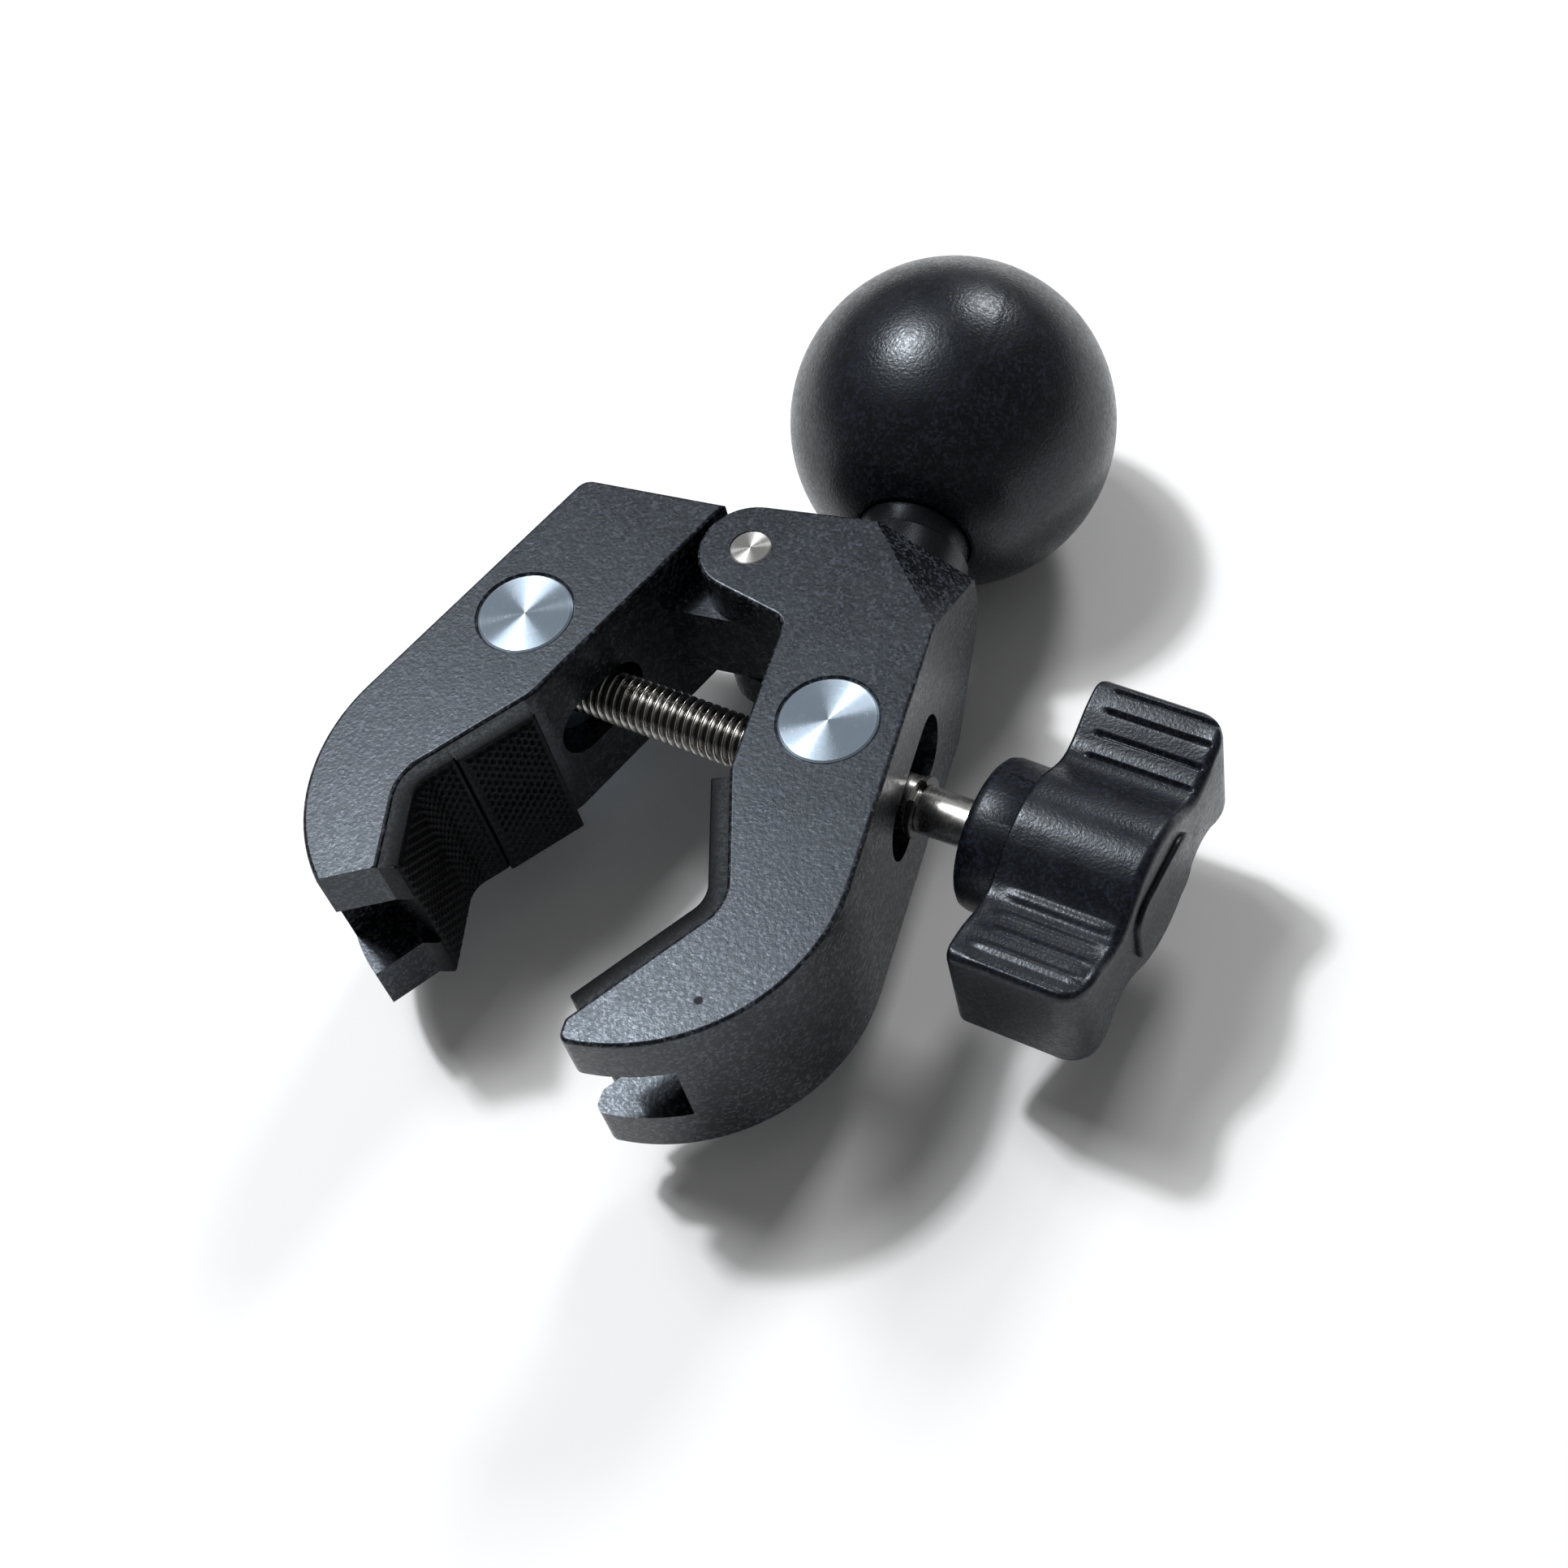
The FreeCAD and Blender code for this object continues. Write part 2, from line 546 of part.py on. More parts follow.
def combined(kind, label, base, tool):
    thing = doc.addObject(kind, label)
    thing.Label = label
    thing.Base = base
    thing.Tool = tool
    doc.recompute()
    return thing


neck_long = "ball_out - ring_long"
core_ball = primitive("Part::Sphere", "core_ball", Radius="core_radius")
core_neck = primitive("Part::Cylinder", "core_neck", Radius="neck_radius", Height=neck_long)
core_thread = primitive("Part::Cylinder", "core_thread", size(f"{neck_long} - stud_in_core"),
                        Radius="stud_radius + seat_gap", Height="stud_in_core + 1")
core_blank = combined("Part::Fuse", "core_blank", core_ball, core_neck)
core = combined("Part::Cut", "ball_core", core_blank, core_thread)
cover = combined("Part::Cut", "ball_cover",
                 combined("Part::Cut", "cover_blank", primitive("Part::Sphere", "ball", Radius="ball_radius"),
                          primitive("Part::Sphere", "core_room", Radius="core_radius + seat_gap")),
                 primitive("Part::Cylinder", "neck_room", Radius="neck_radius + seat_gap", Height=neck_long))
for thing in (core, cover):
    thing.Placement = to_jaw
along_stem = Placement(Vector(0, 0, 0), Rotation(Vector(1, 0, 0), Vector(0, -1, 0)))
lock_ring = turned("stem_lock_ring", ring(neck_long, "ball_out", "stud_radius + seat_gap", "ring_radius",
                                          "2.5 * edge_break"), along_stem)
stud = turned("ball_stud", rod("(stud_in_core + ring_long + stud_in_jaw) / 2 - edge_break", "stud_radius",
                               "2 * edge_break"), along_stem)
stud.Placement.Base = Vector(0, -size("ball_out + (stud_in_jaw - stud_in_core - ring_long) / 2"), 0)

parts = [fixed, moving, fixed_pad, inner_pad, tip_pad, pin, trunnion, nut, screw, inner_clip, outer_clip,
         end_clip, sleeve, knob, insert, cap, core, cover, lock_ring, stud]
doc.recompute()
for thing in doc.Objects:
    if "Invalid" in thing.State or "Error" in thing.State:
        raise RuntimeError(f"{thing.Name} failed: {thing.State}")
os.makedirs("parts", exist_ok=True)
for thing in parts:
    if thing.Shape.isNull() or not thing.Shape.isValid():
        raise RuntimeError(f"{thing.Label} has no valid shape")
    thing.Shape.exportStep(f"parts/{thing.Label}.step")
    print(f"{thing.Label}: {thing.Shape.Volume / 1000:.2f} cm3, {len(thing.Shape.Solids)} solid")
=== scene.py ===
# %% [markdown]
# # A jaw clamp with a ball head
# Two black jaws hang on a hinge pin. A knob screw pulls them together through two turned barrels, and
# rubber pads grip the tube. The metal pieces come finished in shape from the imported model, so here
# they only need their finishes. The pieces with fine repeating detail (thread, knurled pads, ribbed
# knob, moulded ball) are made again in full detail at exactly the same place.

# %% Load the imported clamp
import bpy
import bmesh
import json
import math
import numpy as np
from mathutils import Matrix, Vector


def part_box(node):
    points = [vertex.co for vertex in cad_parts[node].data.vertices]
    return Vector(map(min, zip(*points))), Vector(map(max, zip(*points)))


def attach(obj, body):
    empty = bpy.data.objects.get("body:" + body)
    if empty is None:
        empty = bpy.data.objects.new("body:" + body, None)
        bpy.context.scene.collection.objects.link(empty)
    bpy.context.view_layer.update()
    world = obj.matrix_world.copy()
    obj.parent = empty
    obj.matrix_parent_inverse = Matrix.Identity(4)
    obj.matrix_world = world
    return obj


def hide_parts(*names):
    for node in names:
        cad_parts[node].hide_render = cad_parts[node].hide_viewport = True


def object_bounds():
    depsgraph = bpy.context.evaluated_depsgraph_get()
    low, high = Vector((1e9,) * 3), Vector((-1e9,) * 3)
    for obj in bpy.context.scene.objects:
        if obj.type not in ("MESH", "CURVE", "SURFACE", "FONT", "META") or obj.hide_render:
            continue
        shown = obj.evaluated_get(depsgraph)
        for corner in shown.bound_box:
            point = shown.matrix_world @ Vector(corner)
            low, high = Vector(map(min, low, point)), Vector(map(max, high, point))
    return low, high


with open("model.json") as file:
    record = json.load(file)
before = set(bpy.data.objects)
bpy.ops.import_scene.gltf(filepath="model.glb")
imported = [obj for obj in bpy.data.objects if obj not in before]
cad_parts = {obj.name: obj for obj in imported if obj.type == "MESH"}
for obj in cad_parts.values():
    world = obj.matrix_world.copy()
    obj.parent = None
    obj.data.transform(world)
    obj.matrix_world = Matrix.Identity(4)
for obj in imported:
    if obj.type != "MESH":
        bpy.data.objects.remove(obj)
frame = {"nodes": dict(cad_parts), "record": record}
packed_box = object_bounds()
MM = 0.001
joint_at = {joint["name"]: joint for joint in frame["record"]["behaviour"]["joints"]}
trunnion_at, nut_at, hinge_at = (Vector(joint_at[name]["pos_m"])
                                 for name in ("trunnion_swivel", "nut_swivel", "jaw_hinge"))
print("nodes:", sorted(frame["nodes"]))

# %% [markdown]
# ## Camera
# The clamp lies on its side and is seen from above, from the side of the tips. A 54 mm lens on a 36 mm
# sensor stands about a quarter of a metre away, so near parts look clearly larger than far ones. A
# longer lens from further off would flatten them. The shift moves the picture without turning the
# camera, so it doesn't change the perspective.

# %% Camera
camera_data = bpy.data.cameras.new("camera")
camera_data.sensor_width = 36
camera_data.lens = 53.82
camera_data.shift_x = -0.0403
camera_data.shift_y = 0.0552
camera_data.clip_start = 0.01
camera = bpy.data.objects.new("camera", camera_data)
camera.location = Vector((70.77, -177.68, 202.86)) * MM
camera.rotation_euler = [math.radians(angle) for angle in (32.31, 8.746, 16.105)]
bpy.context.collection.objects.link(camera)
bpy.context.scene.camera = camera
print("camera stands", round(camera.location.length, 3), "m from the ball")

# %% [markdown]
# ## Floor
# A pale matt floor just under the ball. It could be a curved backdrop, but a plain square that runs far
# out does the same for a small object.

# %% Floor
FLOOR_HALF, FLOOR_GAP, FLOOR_WHITE, FLOOR_ROUGHNESS = 3.0, 0.0001, 0.92, 0.9
floor_mesh = bpy.data.meshes.new("floor")
floor_z = packed_box[0][2] - FLOOR_GAP
corners = [(x * FLOOR_HALF, y * FLOOR_HALF, floor_z) for x, y in ((-1, -1), (1, -1), (1, 1), (-1, 1))]
floor_mesh.from_pydata(corners, [], [(0, 1, 2, 3)])
floor = bpy.data.objects.new("floor", floor_mesh)
bpy.context.collection.objects.link(floor)
floor_paint = bpy.data.materials.new("floor_paint")
floor_paint.use_nodes = True
floor_shader = floor_paint.node_tree.nodes["Principled BSDF"]
floor_shader.inputs["Base Color"].default_value = (FLOOR_WHITE, FLOOR_WHITE, FLOOR_WHITE, 1)
floor_shader.inputs["Roughness"].default_value = FLOOR_ROUGHNESS
floor_mesh.materials.append(floor_paint)
print("floor at", round(floor_z / MM, 2), "mm")

# %% [markdown]
# ## Light
# A soft key above and behind the moving jaw, a weaker light behind the ball, and a dim, even surround,
# so that black pieces keep deep shadows. One large lamp would light the coats well but smear the turned
# ends. So the key is two lamps in one place: a soft one for the shapes, and a small one that draws the
# narrow streak by which a lathe-cut face is known.

# %% Lights and surround
KEY_FROM, BACK_FROM = (-0.407, 0.222, 0.886), (0.147, 0.788, 0.598)
LAMP_DISTANCE, LAMP_TARGET = 1.2, Vector((-0.01, -0.045, 0))
KEY_WHITE, SURROUND_STRENGTH = (0.98, 0.99, 1.0), 0.16


def soft_light(name, direction, size, power, tint=(1, 1, 1)):
    """A square area light that looks at the middle of the clamp."""
    data = bpy.data.lights.new(name, "AREA")
    data.size = size
    data.energy = power
    data.color = tint
    light = bpy.data.objects.new(name, data)
    light.location = LAMP_TARGET + Vector(direction).normalized() * LAMP_DISTANCE
    light.rotation_euler = (LAMP_TARGET - light.location).to_track_quat("-Z", "Y").to_euler()
    bpy.context.collection.objects.link(light)
    print(name, "lamp:", power, "W,", size, "m across")


soft_light("key_soft", KEY_FROM, 0.45, 7.0, KEY_WHITE)
soft_light("key_small", KEY_FROM, 0.10, 7.5, KEY_WHITE)
soft_light("back", BACK_FROM, 0.26, 5.0)
world = bpy.data.worlds.new("surround")
world.use_nodes = True
world.node_tree.nodes["Background"].inputs["Color"].default_value = (1.0, 1.0, 1.0, 1)
world.node_tree.nodes["Background"].inputs["Strength"].default_value = SURROUND_STRENGTH
bpy.context.scene.world = world
bpy.context.scene.view_settings.view_transform = "Standard"

# %% [markdown]
# ## Node helpers
# Finishes and Geometry Nodes trees are both graphs, so one small helper serves for both: it adds a
# node, sets its fields, and fills each input with a number or with a wire from an earlier node. The
# others are short names for the nodes that come up most.

# %% Helpers for node graphs


def node(tree, kind, inputs=None, **fields):
    """Add a node. inputs maps a socket's name or number to a value or to another node's output."""
    made = tree.nodes.new(kind)
    for name, value in fields.items():
        setattr(made, name, value)
    for key, value in (inputs or {}).items():
        if isinstance(value, bpy.types.NodeSocket):
            tree.links.new(value, made.inputs[key])
        else:
            made.inputs[key].default_value = value
    return made


def calc(tree, operation, *values):
    """A Math node's result."""
    return node(tree, "ShaderNodeMath", dict(enumerate(values)), operation=operation).outputs[0]


def vector(tree, operation, *values, **named):
    """A Vector Math node's result: a number for a length, a distance or a dot product."""
    made = node(tree, "ShaderNodeVectorMath", {**dict(enumerate(values)), **named}, operation=operation)
    return made.outputs["Value" if operation in ("LENGTH", "DISTANCE", "DOT_PRODUCT") else "Vector"]


def remap(tree, value, low, high, to_low, to_high, way="LINEAR"):
    """The value moved from one range to another, and kept inside it."""
    ends = {0: value, 1: low, 2: high, 3: to_low, 4: to_high}
    return node(tree, "ShaderNodeMapRange", ends, interpolation_type=way).outputs[0]


def level(tree, pattern, low, high):
    """A noise, whose middle is 0.5, as a number between low and high."""
    return remap(tree, pattern, 0.3, 0.7, low, high)


def noise(tree, place, blob, detail=2.0, roughness=0.5):
    """Noise whose blobs are about this many metres across."""
    return node(tree, "ShaderNodeTexNoise", {"Vector": place, "Scale": 1 / blob, "Detail": detail,
                                             "Roughness": roughness}).outputs["Fac"]


def grains(tree, place, across):
    """Cells of this size in metres, each with one random shade."""
    return node(tree, "ShaderNodeTexVoronoi", {"Vector": place, "Scale": 1 / across}).outputs["Color"]


def blend_colour(tree, amount, first, second):
    """first where amount is 0, second where it is 1. A colour is three numbers or a node's output."""
    first, second = (end if isinstance(end, bpy.types.NodeSocket) else (*end, 1) for end in (first, second))
    return node(tree, "ShaderNodeMix", {0: amount, 6: first, 7: second}, data_type="RGBA").outputs[2]


# %% Helpers for finishes


def new_finish(name, **settings):
    """A material with its shader's constant settings; returns material, tree, shader, coordinates."""
    made = bpy.data.materials.new(name)
    made.use_nodes = True
    tree = made.node_tree
    shader = tree.nodes["Principled BSDF"]
    for key, value in settings.items():
        shader.inputs[key.replace("_", " ")].default_value = value
    return made, tree, shader, node(tree, "ShaderNodeTexCoord").outputs["Object"]


def plug(tree, shader, **wires):
    """Wire inputs of the shader by name."""
    for key, wire in wires.items():
        tree.links.new(wire, shader.inputs[key.replace("_", " ")])


def bump(tree, shader, height, depth, strength=0.8):
    """Relief of the given depth in metres."""
    relief = node(tree, "ShaderNodeBump", {"Height": height, "Distance": depth, "Strength": strength})
    plug(tree, shader, Normal=relief.outputs[0])


# %% [markdown]
# ## Black powder coat
# The jaws are cast aluminium with a baked powder coat: nearly black, matt, with melted grains a third
# of a millimetre across. Each grain has its own shade and gloss, so the flat faces sparkle finely. A
# Voronoi texture gives every grain one random shade, which noise would blur into worms. A fine noise
# adds the relief, and a broad one the patches where the coat is thicker and smoother. The fixed jaw has
# one small chip near its tip, a dark dull dot.

# %% Powder coat
COAT_GRAIN, COAT_RELIEF, COAT_PATCH = 0.00032, 0.00003, 0.007
COAT_DARK, COAT_SPECK = (0.0010, 0.0011, 0.0014), (0.048, 0.054, 0.066)
CHIP_AT, CHIP_RADIUS = (-0.00181, -0.08472, 0.0110), 0.00045
CHIP_BLACK, CHIP_DULL = (0.002, 0.002, 0.002), 0.4


def powder_coat(name):
    """Black coat whose grains each have their own shade and gloss, with one chip."""
    made, tree, shader, place = new_finish(name, Specular_IOR_Level=0.44, Specular_Tint=(0.76, 0.87, 1.0, 1))
    grain = grains(tree, place, COAT_GRAIN)
    coat = blend_colour(tree, remap(tree, grain, 0.52, 0.85, 0.0, 1.0), COAT_DARK, COAT_SPECK)
    off_chip = vector(tree, "DISTANCE", place, CHIP_AT)
    chipped = remap(tree, off_chip, 0.8 * CHIP_RADIUS, 1.2 * CHIP_RADIUS, 1.0, 0.0)
    patch = level(tree, noise(tree, place, COAT_PATCH), 0.30, 0.34)
    rough = calc(tree, "ADD", patch, level(tree, grain, 0.05, -0.05))
    plug(tree, shader, Base_Color=blend_colour(tree, chipped, coat, CHIP_BLACK),
         Roughness=calc(tree, "ADD", rough, calc(tree, "MULTIPLY", chipped, CHIP_DULL)))
    bump(tree, shader, noise(tree, place, 0.0004), COAT_RELIEF)
    return made


powder = powder_coat("powder_coat_black")
print("coat with grains of", COAT_GRAIN / MM, "mm")

# %% [markdown]
# ## Turned steel ends
# The barrels and the pin are cut off on a lathe, so their ends carry rings about a tenth of a
# millimetre apart. Rings stretch a reflection along the radius, and every lamp gives a bow-tie streak
# through the centre. A painted streak would stay put when the view turns. The shader makes a true one
# when its tangent points along the radius, so the finish only measures the way from the axis of its own
# barrel.

# %% Turned ends
ZINC, PIN_STEEL = (0.34, 0.42, 0.50), (0.38, 0.38, 0.37)
RING_GAP, RING_DEPTH, STAIN_ACROSS, NICK_ACROSS, DULLED = 0.00022, 0.000004, 0.0022, 0.0009, 0.72


def turned_steel(name, axis_at, tint, roughness):
    """Steel whose end faces are turned about the axis through axis_at, along Z."""
    made, tree, shader, place = new_finish(name, Metallic=0.6, Anisotropic=1.0)
    centred = node(tree, "ShaderNodeMapping", {"Vector": place, "Location": (-axis_at[0], -axis_at[1], 0)})
    flat = vector(tree, "MULTIPLY", centred.outputs[0], (1, 1, 0))
    radius = vector(tree, "LENGTH", flat)
    rings = noise(tree, node(tree, "ShaderNodeCombineXYZ", {"X": radius}).outputs[0], RING_GAP, 3.0, 0.7)
    stain = level(tree, noise(tree, place, STAIN_ACROSS, 3.0), 0.42, 0.58)
    shade = calc(tree, "ADD", level(tree, rings, -0.12, 0.12), stain)
    nick = remap(tree, noise(tree, place, NICK_ACROSS, 4.0, 0.7), 0.60, 0.74, 0.0, 0.25)
    plug(tree, shader, Tangent=vector(tree, "NORMALIZE", flat),
         Base_Color=blend_colour(tree, shade, [DULLED * part for part in tint], tint),
         Roughness=calc(tree, "ADD", nick, level(tree, rings, roughness - 0.05, roughness + 0.05)))
    bump(tree, shader, rings, RING_DEPTH, 0.6)
    return made


turned = {
    "swivel_trunnion": turned_steel("zinc_turned_trunnion", trunnion_at, ZINC, 0.22),
    "barrel_nut": turned_steel("zinc_turned_nut", nut_at, ZINC, 0.22),
    "hinge_pin": turned_steel("steel_turned_pin", hinge_at, PIN_STEEL, 0.30),
}
print("turned ends:", ", ".join(turned))

# %% [markdown]
# ## Steel of the screw
# The shank is ground bright and the thread is rolled. The same steel serves for both: faint marks run
# round the axis, and the colour darkens in oil stains and, measured from the screw's axis, in everything
# deeper than the root radius: painted shade in the thread's roots. That shade could be painted by hand,
# but a measure from the axis finds every root by itself.

# %% Screw steel
screw_axis = -Vector(joint_at["screw_turn"]["axis"]).normalized()
across_axis = Vector((0, 0, 1)).cross(screw_axis)
screw_place = Matrix.Translation(trunnion_at) @ Matrix((
    (screw_axis.x, across_axis.x, 0, 0), (screw_axis.y, across_axis.y, 0, 0), (0, 0, 1, 0), (0, 0, 0, 1)))
# Colour, fade and strength of the painted shade in the thread's roots, deeper than the root radius.
ROOT_SHADE_COLOUR, ROOT_SHADE_RISE, ROOT_SHADE_MOST = (0.012, 0.011, 0.010), 0.0004, 0.93
MARK_GAP, MARK_DEPTH, OIL_ACROSS, OILED = 0.0003, 0.000003, 0.0015, 0.45


def screw_steel(name, tint, roughness, root=0.0):
    """Steel marked round the screw's axis, with painted shade nearer to that axis than the root radius in
    metres.
    """
    made, tree, shader, place = new_finish(name, Metallic=1.0)
    along = vector(tree, "DOT_PRODUCT", place, screw_axis)
    marks = noise(tree, node(tree, "ShaderNodeCombineXYZ", {"X": along}).outputs[0], MARK_GAP, 3.0, 0.7)
    oil = noise(tree, place, OIL_ACROSS, 4.0, 0.6)
    oiled = blend_colour(tree, remap(tree, oil, 0.4, 0.75, 0.0, 0.4), tint, [OILED * part for part in tint])
    off_axis = vector(tree, "CROSS_PRODUCT", vector(tree, "SUBTRACT", place, trunnion_at), screw_axis)
    # Painted shade: the steel turns dark deeper than the root radius, in the thread's roots.
    root_shade = remap(tree, vector(tree, "LENGTH", off_axis), root, root + ROOT_SHADE_RISE, ROOT_SHADE_MOST, 0.0)
    rough = level(tree, marks, roughness - 0.04, roughness + 0.06)
    plug(tree, shader, Base_Color=blend_colour(tree, root_shade, oiled, ROOT_SHADE_COLOUR),
         Roughness=calc(tree, "ADD", rough, remap(tree, oil, 0.5, 0.8, 0.0, 0.12)))
    bump(tree, shader, marks, MARK_DEPTH, 0.5)
    return made


bright_steel = screw_steel("screw_steel_bright", (0.76, 0.75, 0.73), 0.24)
rolled_steel = screw_steel("screw_steel_rolled", (0.56, 0.55, 0.52), 0.24, root=0.00246)
clip_steel = screw_steel("clip_steel_phosphated", (0.10, 0.10, 0.10), 0.38)
insert_brass = screw_steel("insert_brass", (0.70, 0.52, 0.26), 0.32)
print("screw runs along", tuple(round(part, 4) for part in screw_axis))

# %% [markdown]
# ## Rubber, nylon, anodised neck and ball cover
# Four blacks that differ in grain and gloss, not in colour. As on the coat, a Voronoi texture gives each
# grain of the mould's texture its own shade and gloss. The pads are dull rubber with dust in the skin.
# The knob is glass-filled nylon with a spark-eroded texture from its mould. The ball has a coarser,
# waxier one. The neck and its ring are anodised and turned, so they are the smoothest.

# %% Other blacks
WIDE_PATCH = 0.004


def textured_black(name, dark, light, grain, roughness, depth, specular):
    """A moulded or coated black: grain in metres, depth of its relief in metres."""
    made, tree, shader, place = new_finish(name, Specular_IOR_Level=specular,
                                           Specular_Tint=(0.84, 0.92, 1.0, 1))
    fine = grains(tree, place, grain)
    wide = noise(tree, place, WIDE_PATCH, 3.0)
    amount = calc(tree, "MULTIPLY", remap(tree, fine, 0.4, 0.85, 0.0, 1.0), level(tree, wide, 0.55, 1.0))
    rough = level(tree, wide, roughness - 0.04, roughness + 0.04)
    plug(tree, shader, Base_Color=blend_colour(tree, amount, dark, light),
         Roughness=calc(tree, "ADD", rough, level(tree, fine, 0.05, -0.05)))
    bump(tree, shader, noise(tree, place, grain), depth)
    return made


pad_rubber = textured_black("pad_rubber", (0.0015, 0.0015, 0.0017), (0.008, 0.0082, 0.009),
                            0.00026, 0.46, 0.00001, 0.14)
knob_nylon = textured_black("knob_nylon", (0.0010, 0.0012, 0.0022), (0.016, 0.020, 0.030),
                            0.00032, 0.33, 0.00004, 0.36)
ball_skin = textured_black("ball_composite", (0.0006, 0.0007, 0.0012), (0.016, 0.019, 0.028),
                           0.00034, 0.31, 0.00005, 0.42)
neck_black = textured_black("neck_anodised", (0.0015, 0.0015, 0.002), (0.006, 0.007, 0.010),
                            0.00015, 0.27, 0.000012, 0.36)
print("finishes:", len(bpy.data.materials))

# %% [markdown]
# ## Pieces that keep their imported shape
# Jaws, pin, barrels, clips, sleeve, core, ring and stud already have the right shape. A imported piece's
# mesh is never touched: only its material slots are filled.

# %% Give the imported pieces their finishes
KEPT = {
    powder: ("fixed_jaw", "moving_jaw"),
    clip_steel: ("inner_retaining_clip", "outer_retaining_clip", "screw_end_clip"),
    bright_steel: ("thrust_sleeve",),
    rolled_steel: ("ball_stud",),
    insert_brass: ("knob_insert",),
    neck_black: ("ball_core", "stem_lock_ring"),
    **{finish: (name,) for name, finish in turned.items()},
}
for finish, names in KEPT.items():
    for name in names:
        for slot in frame["nodes"][name].material_slots:
            slot.material = finish
    print(finish.name, "on", ", ".join(names))

# %% [markdown]
# ## Helpers for new pieces
# A round piece is a profile turned about an axis. A Geometry Nodes tree is built with named inputs, put
# on the piece as a modifier, and then turned into a plain mesh, because only plain meshes are exported.

# %% Helpers for meshes


def add_piece(name, verts, faces, finish, smooth=True):
    """An object from points and faces, with its place in its mesh."""
    mesh = bpy.data.meshes.new(name)
    mesh.from_pydata([tuple(v) for v in verts], [], faces)
    mesh.materials.append(finish)
    piece = bpy.data.objects.new(name, mesh)
    bpy.context.collection.objects.link(piece)
    mesh.update()
    if smooth:
        mesh.shade_smooth()
    return piece


def turn_outwards(piece, merge=1e-7):
    """Merge doubled points and turn all faces outwards."""
    work = bmesh.new()
    work.from_mesh(piece.data)
    bmesh.ops.remove_doubles(work, verts=work.verts, dist=merge)
    bmesh.ops.recalc_face_normals(work, faces=work.faces)
    work.to_mesh(piece.data)
    work.free()


def lathe(name, profile, finish, place, steps=96):
    """A closed profile of (along, radius) pairs in mm, turned about the X axis, then moved to place."""
    verts, faces, count = [], [], len(profile)
    for step in range(steps):
        angle = 2 * math.pi * step / steps
        verts += [place @ Vector((x * MM, r * MM * math.cos(angle), r * MM * math.sin(angle)))
                  for x, r in profile]
    for step in range(steps):
        here, there = step * count, ((step + 1) % steps) * count
        for i in range(count):
            j = (i + 1) % count
            if profile[i][1] or profile[j][1]:
                faces.append((here + i, here + j, there + j, there + i))
    piece = add_piece(name, verts, faces, finish)
    turn_outwards(piece)
    return piece


def between_rings(rings, count):
    """Four-sided faces between neighbouring rings of count points each."""
    return [(here + j, here + (j + 1) % count, here + count + (j + 1) % count, here + count + j)
            for here in range(0, (rings - 1) * count, count) for j in range(count)]


def inset(reach, radius):
    """How far a rounded edge of this radius has drawn in at this distance from the end."""
    return radius - math.sqrt(max(0.0, radius ** 2 - max(0.0, radius - reach) ** 2))


def keep_result(piece):
    """Replace the piece's mesh by what its modifiers make, and remove them."""
    bpy.context.view_layer.update()
    made = bpy.data.meshes.new_from_object(piece.evaluated_get(bpy.context.evaluated_depsgraph_get()))
    piece.modifiers.clear()
    piece.data = made
    return piece


def combine(piece, other, operation):
    """Unite the other piece with this one, or cut it out of it, and remove the other."""
    modifier = piece.modifiers.new("combine", "BOOLEAN")
    modifier.operation, modifier.object, modifier.solver = operation, other, "EXACT"
    keep_result(piece)
    bpy.data.objects.remove(other)


def report(piece, nodes):
    """Print the piece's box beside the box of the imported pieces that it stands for."""
    points = np.array([v.co for v in piece.data.vertices])
    low, high = points.min(0) / MM, points.max(0) / MM
    boxes = [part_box(name) for name in nodes]
    want_low = np.min([np.array(box[0]) for box in boxes], axis=0) / MM
    want_high = np.max([np.array(box[1]) for box in boxes], axis=0) / MM
    print(piece.name, len(piece.data.polygons), "faces; past the packed box by",
          np.round(np.maximum(want_low - low, 0), 2), np.round(np.maximum(high - want_high, 0), 2))


# %% Helpers for trees


def new_tree(name, **inputs):
    """A Geometry Nodes tree with one geometry in, one out, and the named inputs with their start values."""
    tree = bpy.data.node_groups.new(name, "GeometryNodeTree")
    tree.interface.new_socket("Geometry", in_out="OUTPUT", socket_type="NodeSocketGeometry")
    tree.interface.new_socket("Geometry", in_out="INPUT", socket_type="NodeSocketGeometry")
    for label, start in inputs.items():
        kind = "NodeSocketInt" if isinstance(start, int) else "NodeSocketFloat"
        if start is None:
            kind = "NodeSocketMaterial"
        socket = tree.interface.new_socket(label, in_out="INPUT", socket_type=kind)
        if start is not None:
            socket.default_value = start
    return tree, tree.nodes.new("NodeGroupInput").outputs


def end_tree(tree, geometry, finish):
    """Realize Instances, Set Material and the output."""
    real = node(tree, "GeometryNodeRealizeInstances", {0: geometry}).outputs[0]
    dressed = node(tree, "GeometryNodeSetMaterial", {"Geometry": real, "Material": finish}).outputs[0]
    node(tree, "NodeGroupOutput", {0: dressed})


def run_tree(piece, tree, **values):
    """Run the tree on the piece with these values and keep the result as its plain mesh."""
    modifier = piece.modifiers.new(tree.name, "NODES")
    modifier.node_group = tree
    for socket in tree.interface.items_tree:
        if socket.in_out == "INPUT" and socket.name in values:
            modifier[socket.identifier] = values[socket.name]
    return keep_result(piece)


def position(tree):
    """X, Y and Z of each point."""
    point = node(tree, "GeometryNodeInputPosition").outputs[0]
    return node(tree, "ShaderNodeSeparateXYZ", {0: point}).outputs


def zigzag(tree, turns):
    """A wave that falls from 1 to 0 and rises to 1 again in each whole turn."""
    doubled = calc(tree, "MULTIPLY", calc(tree, "FRACT", turns), 2.0)
    return calc(tree, "ABSOLUTE", calc(tree, "SUBTRACT", doubled, 1.0))


def shift(tree, geometry, offset):
    """Every point moved by the offset."""
    return node(tree, "GeometryNodeSetPosition", {"Geometry": geometry, "Offset": offset}).outputs[0]


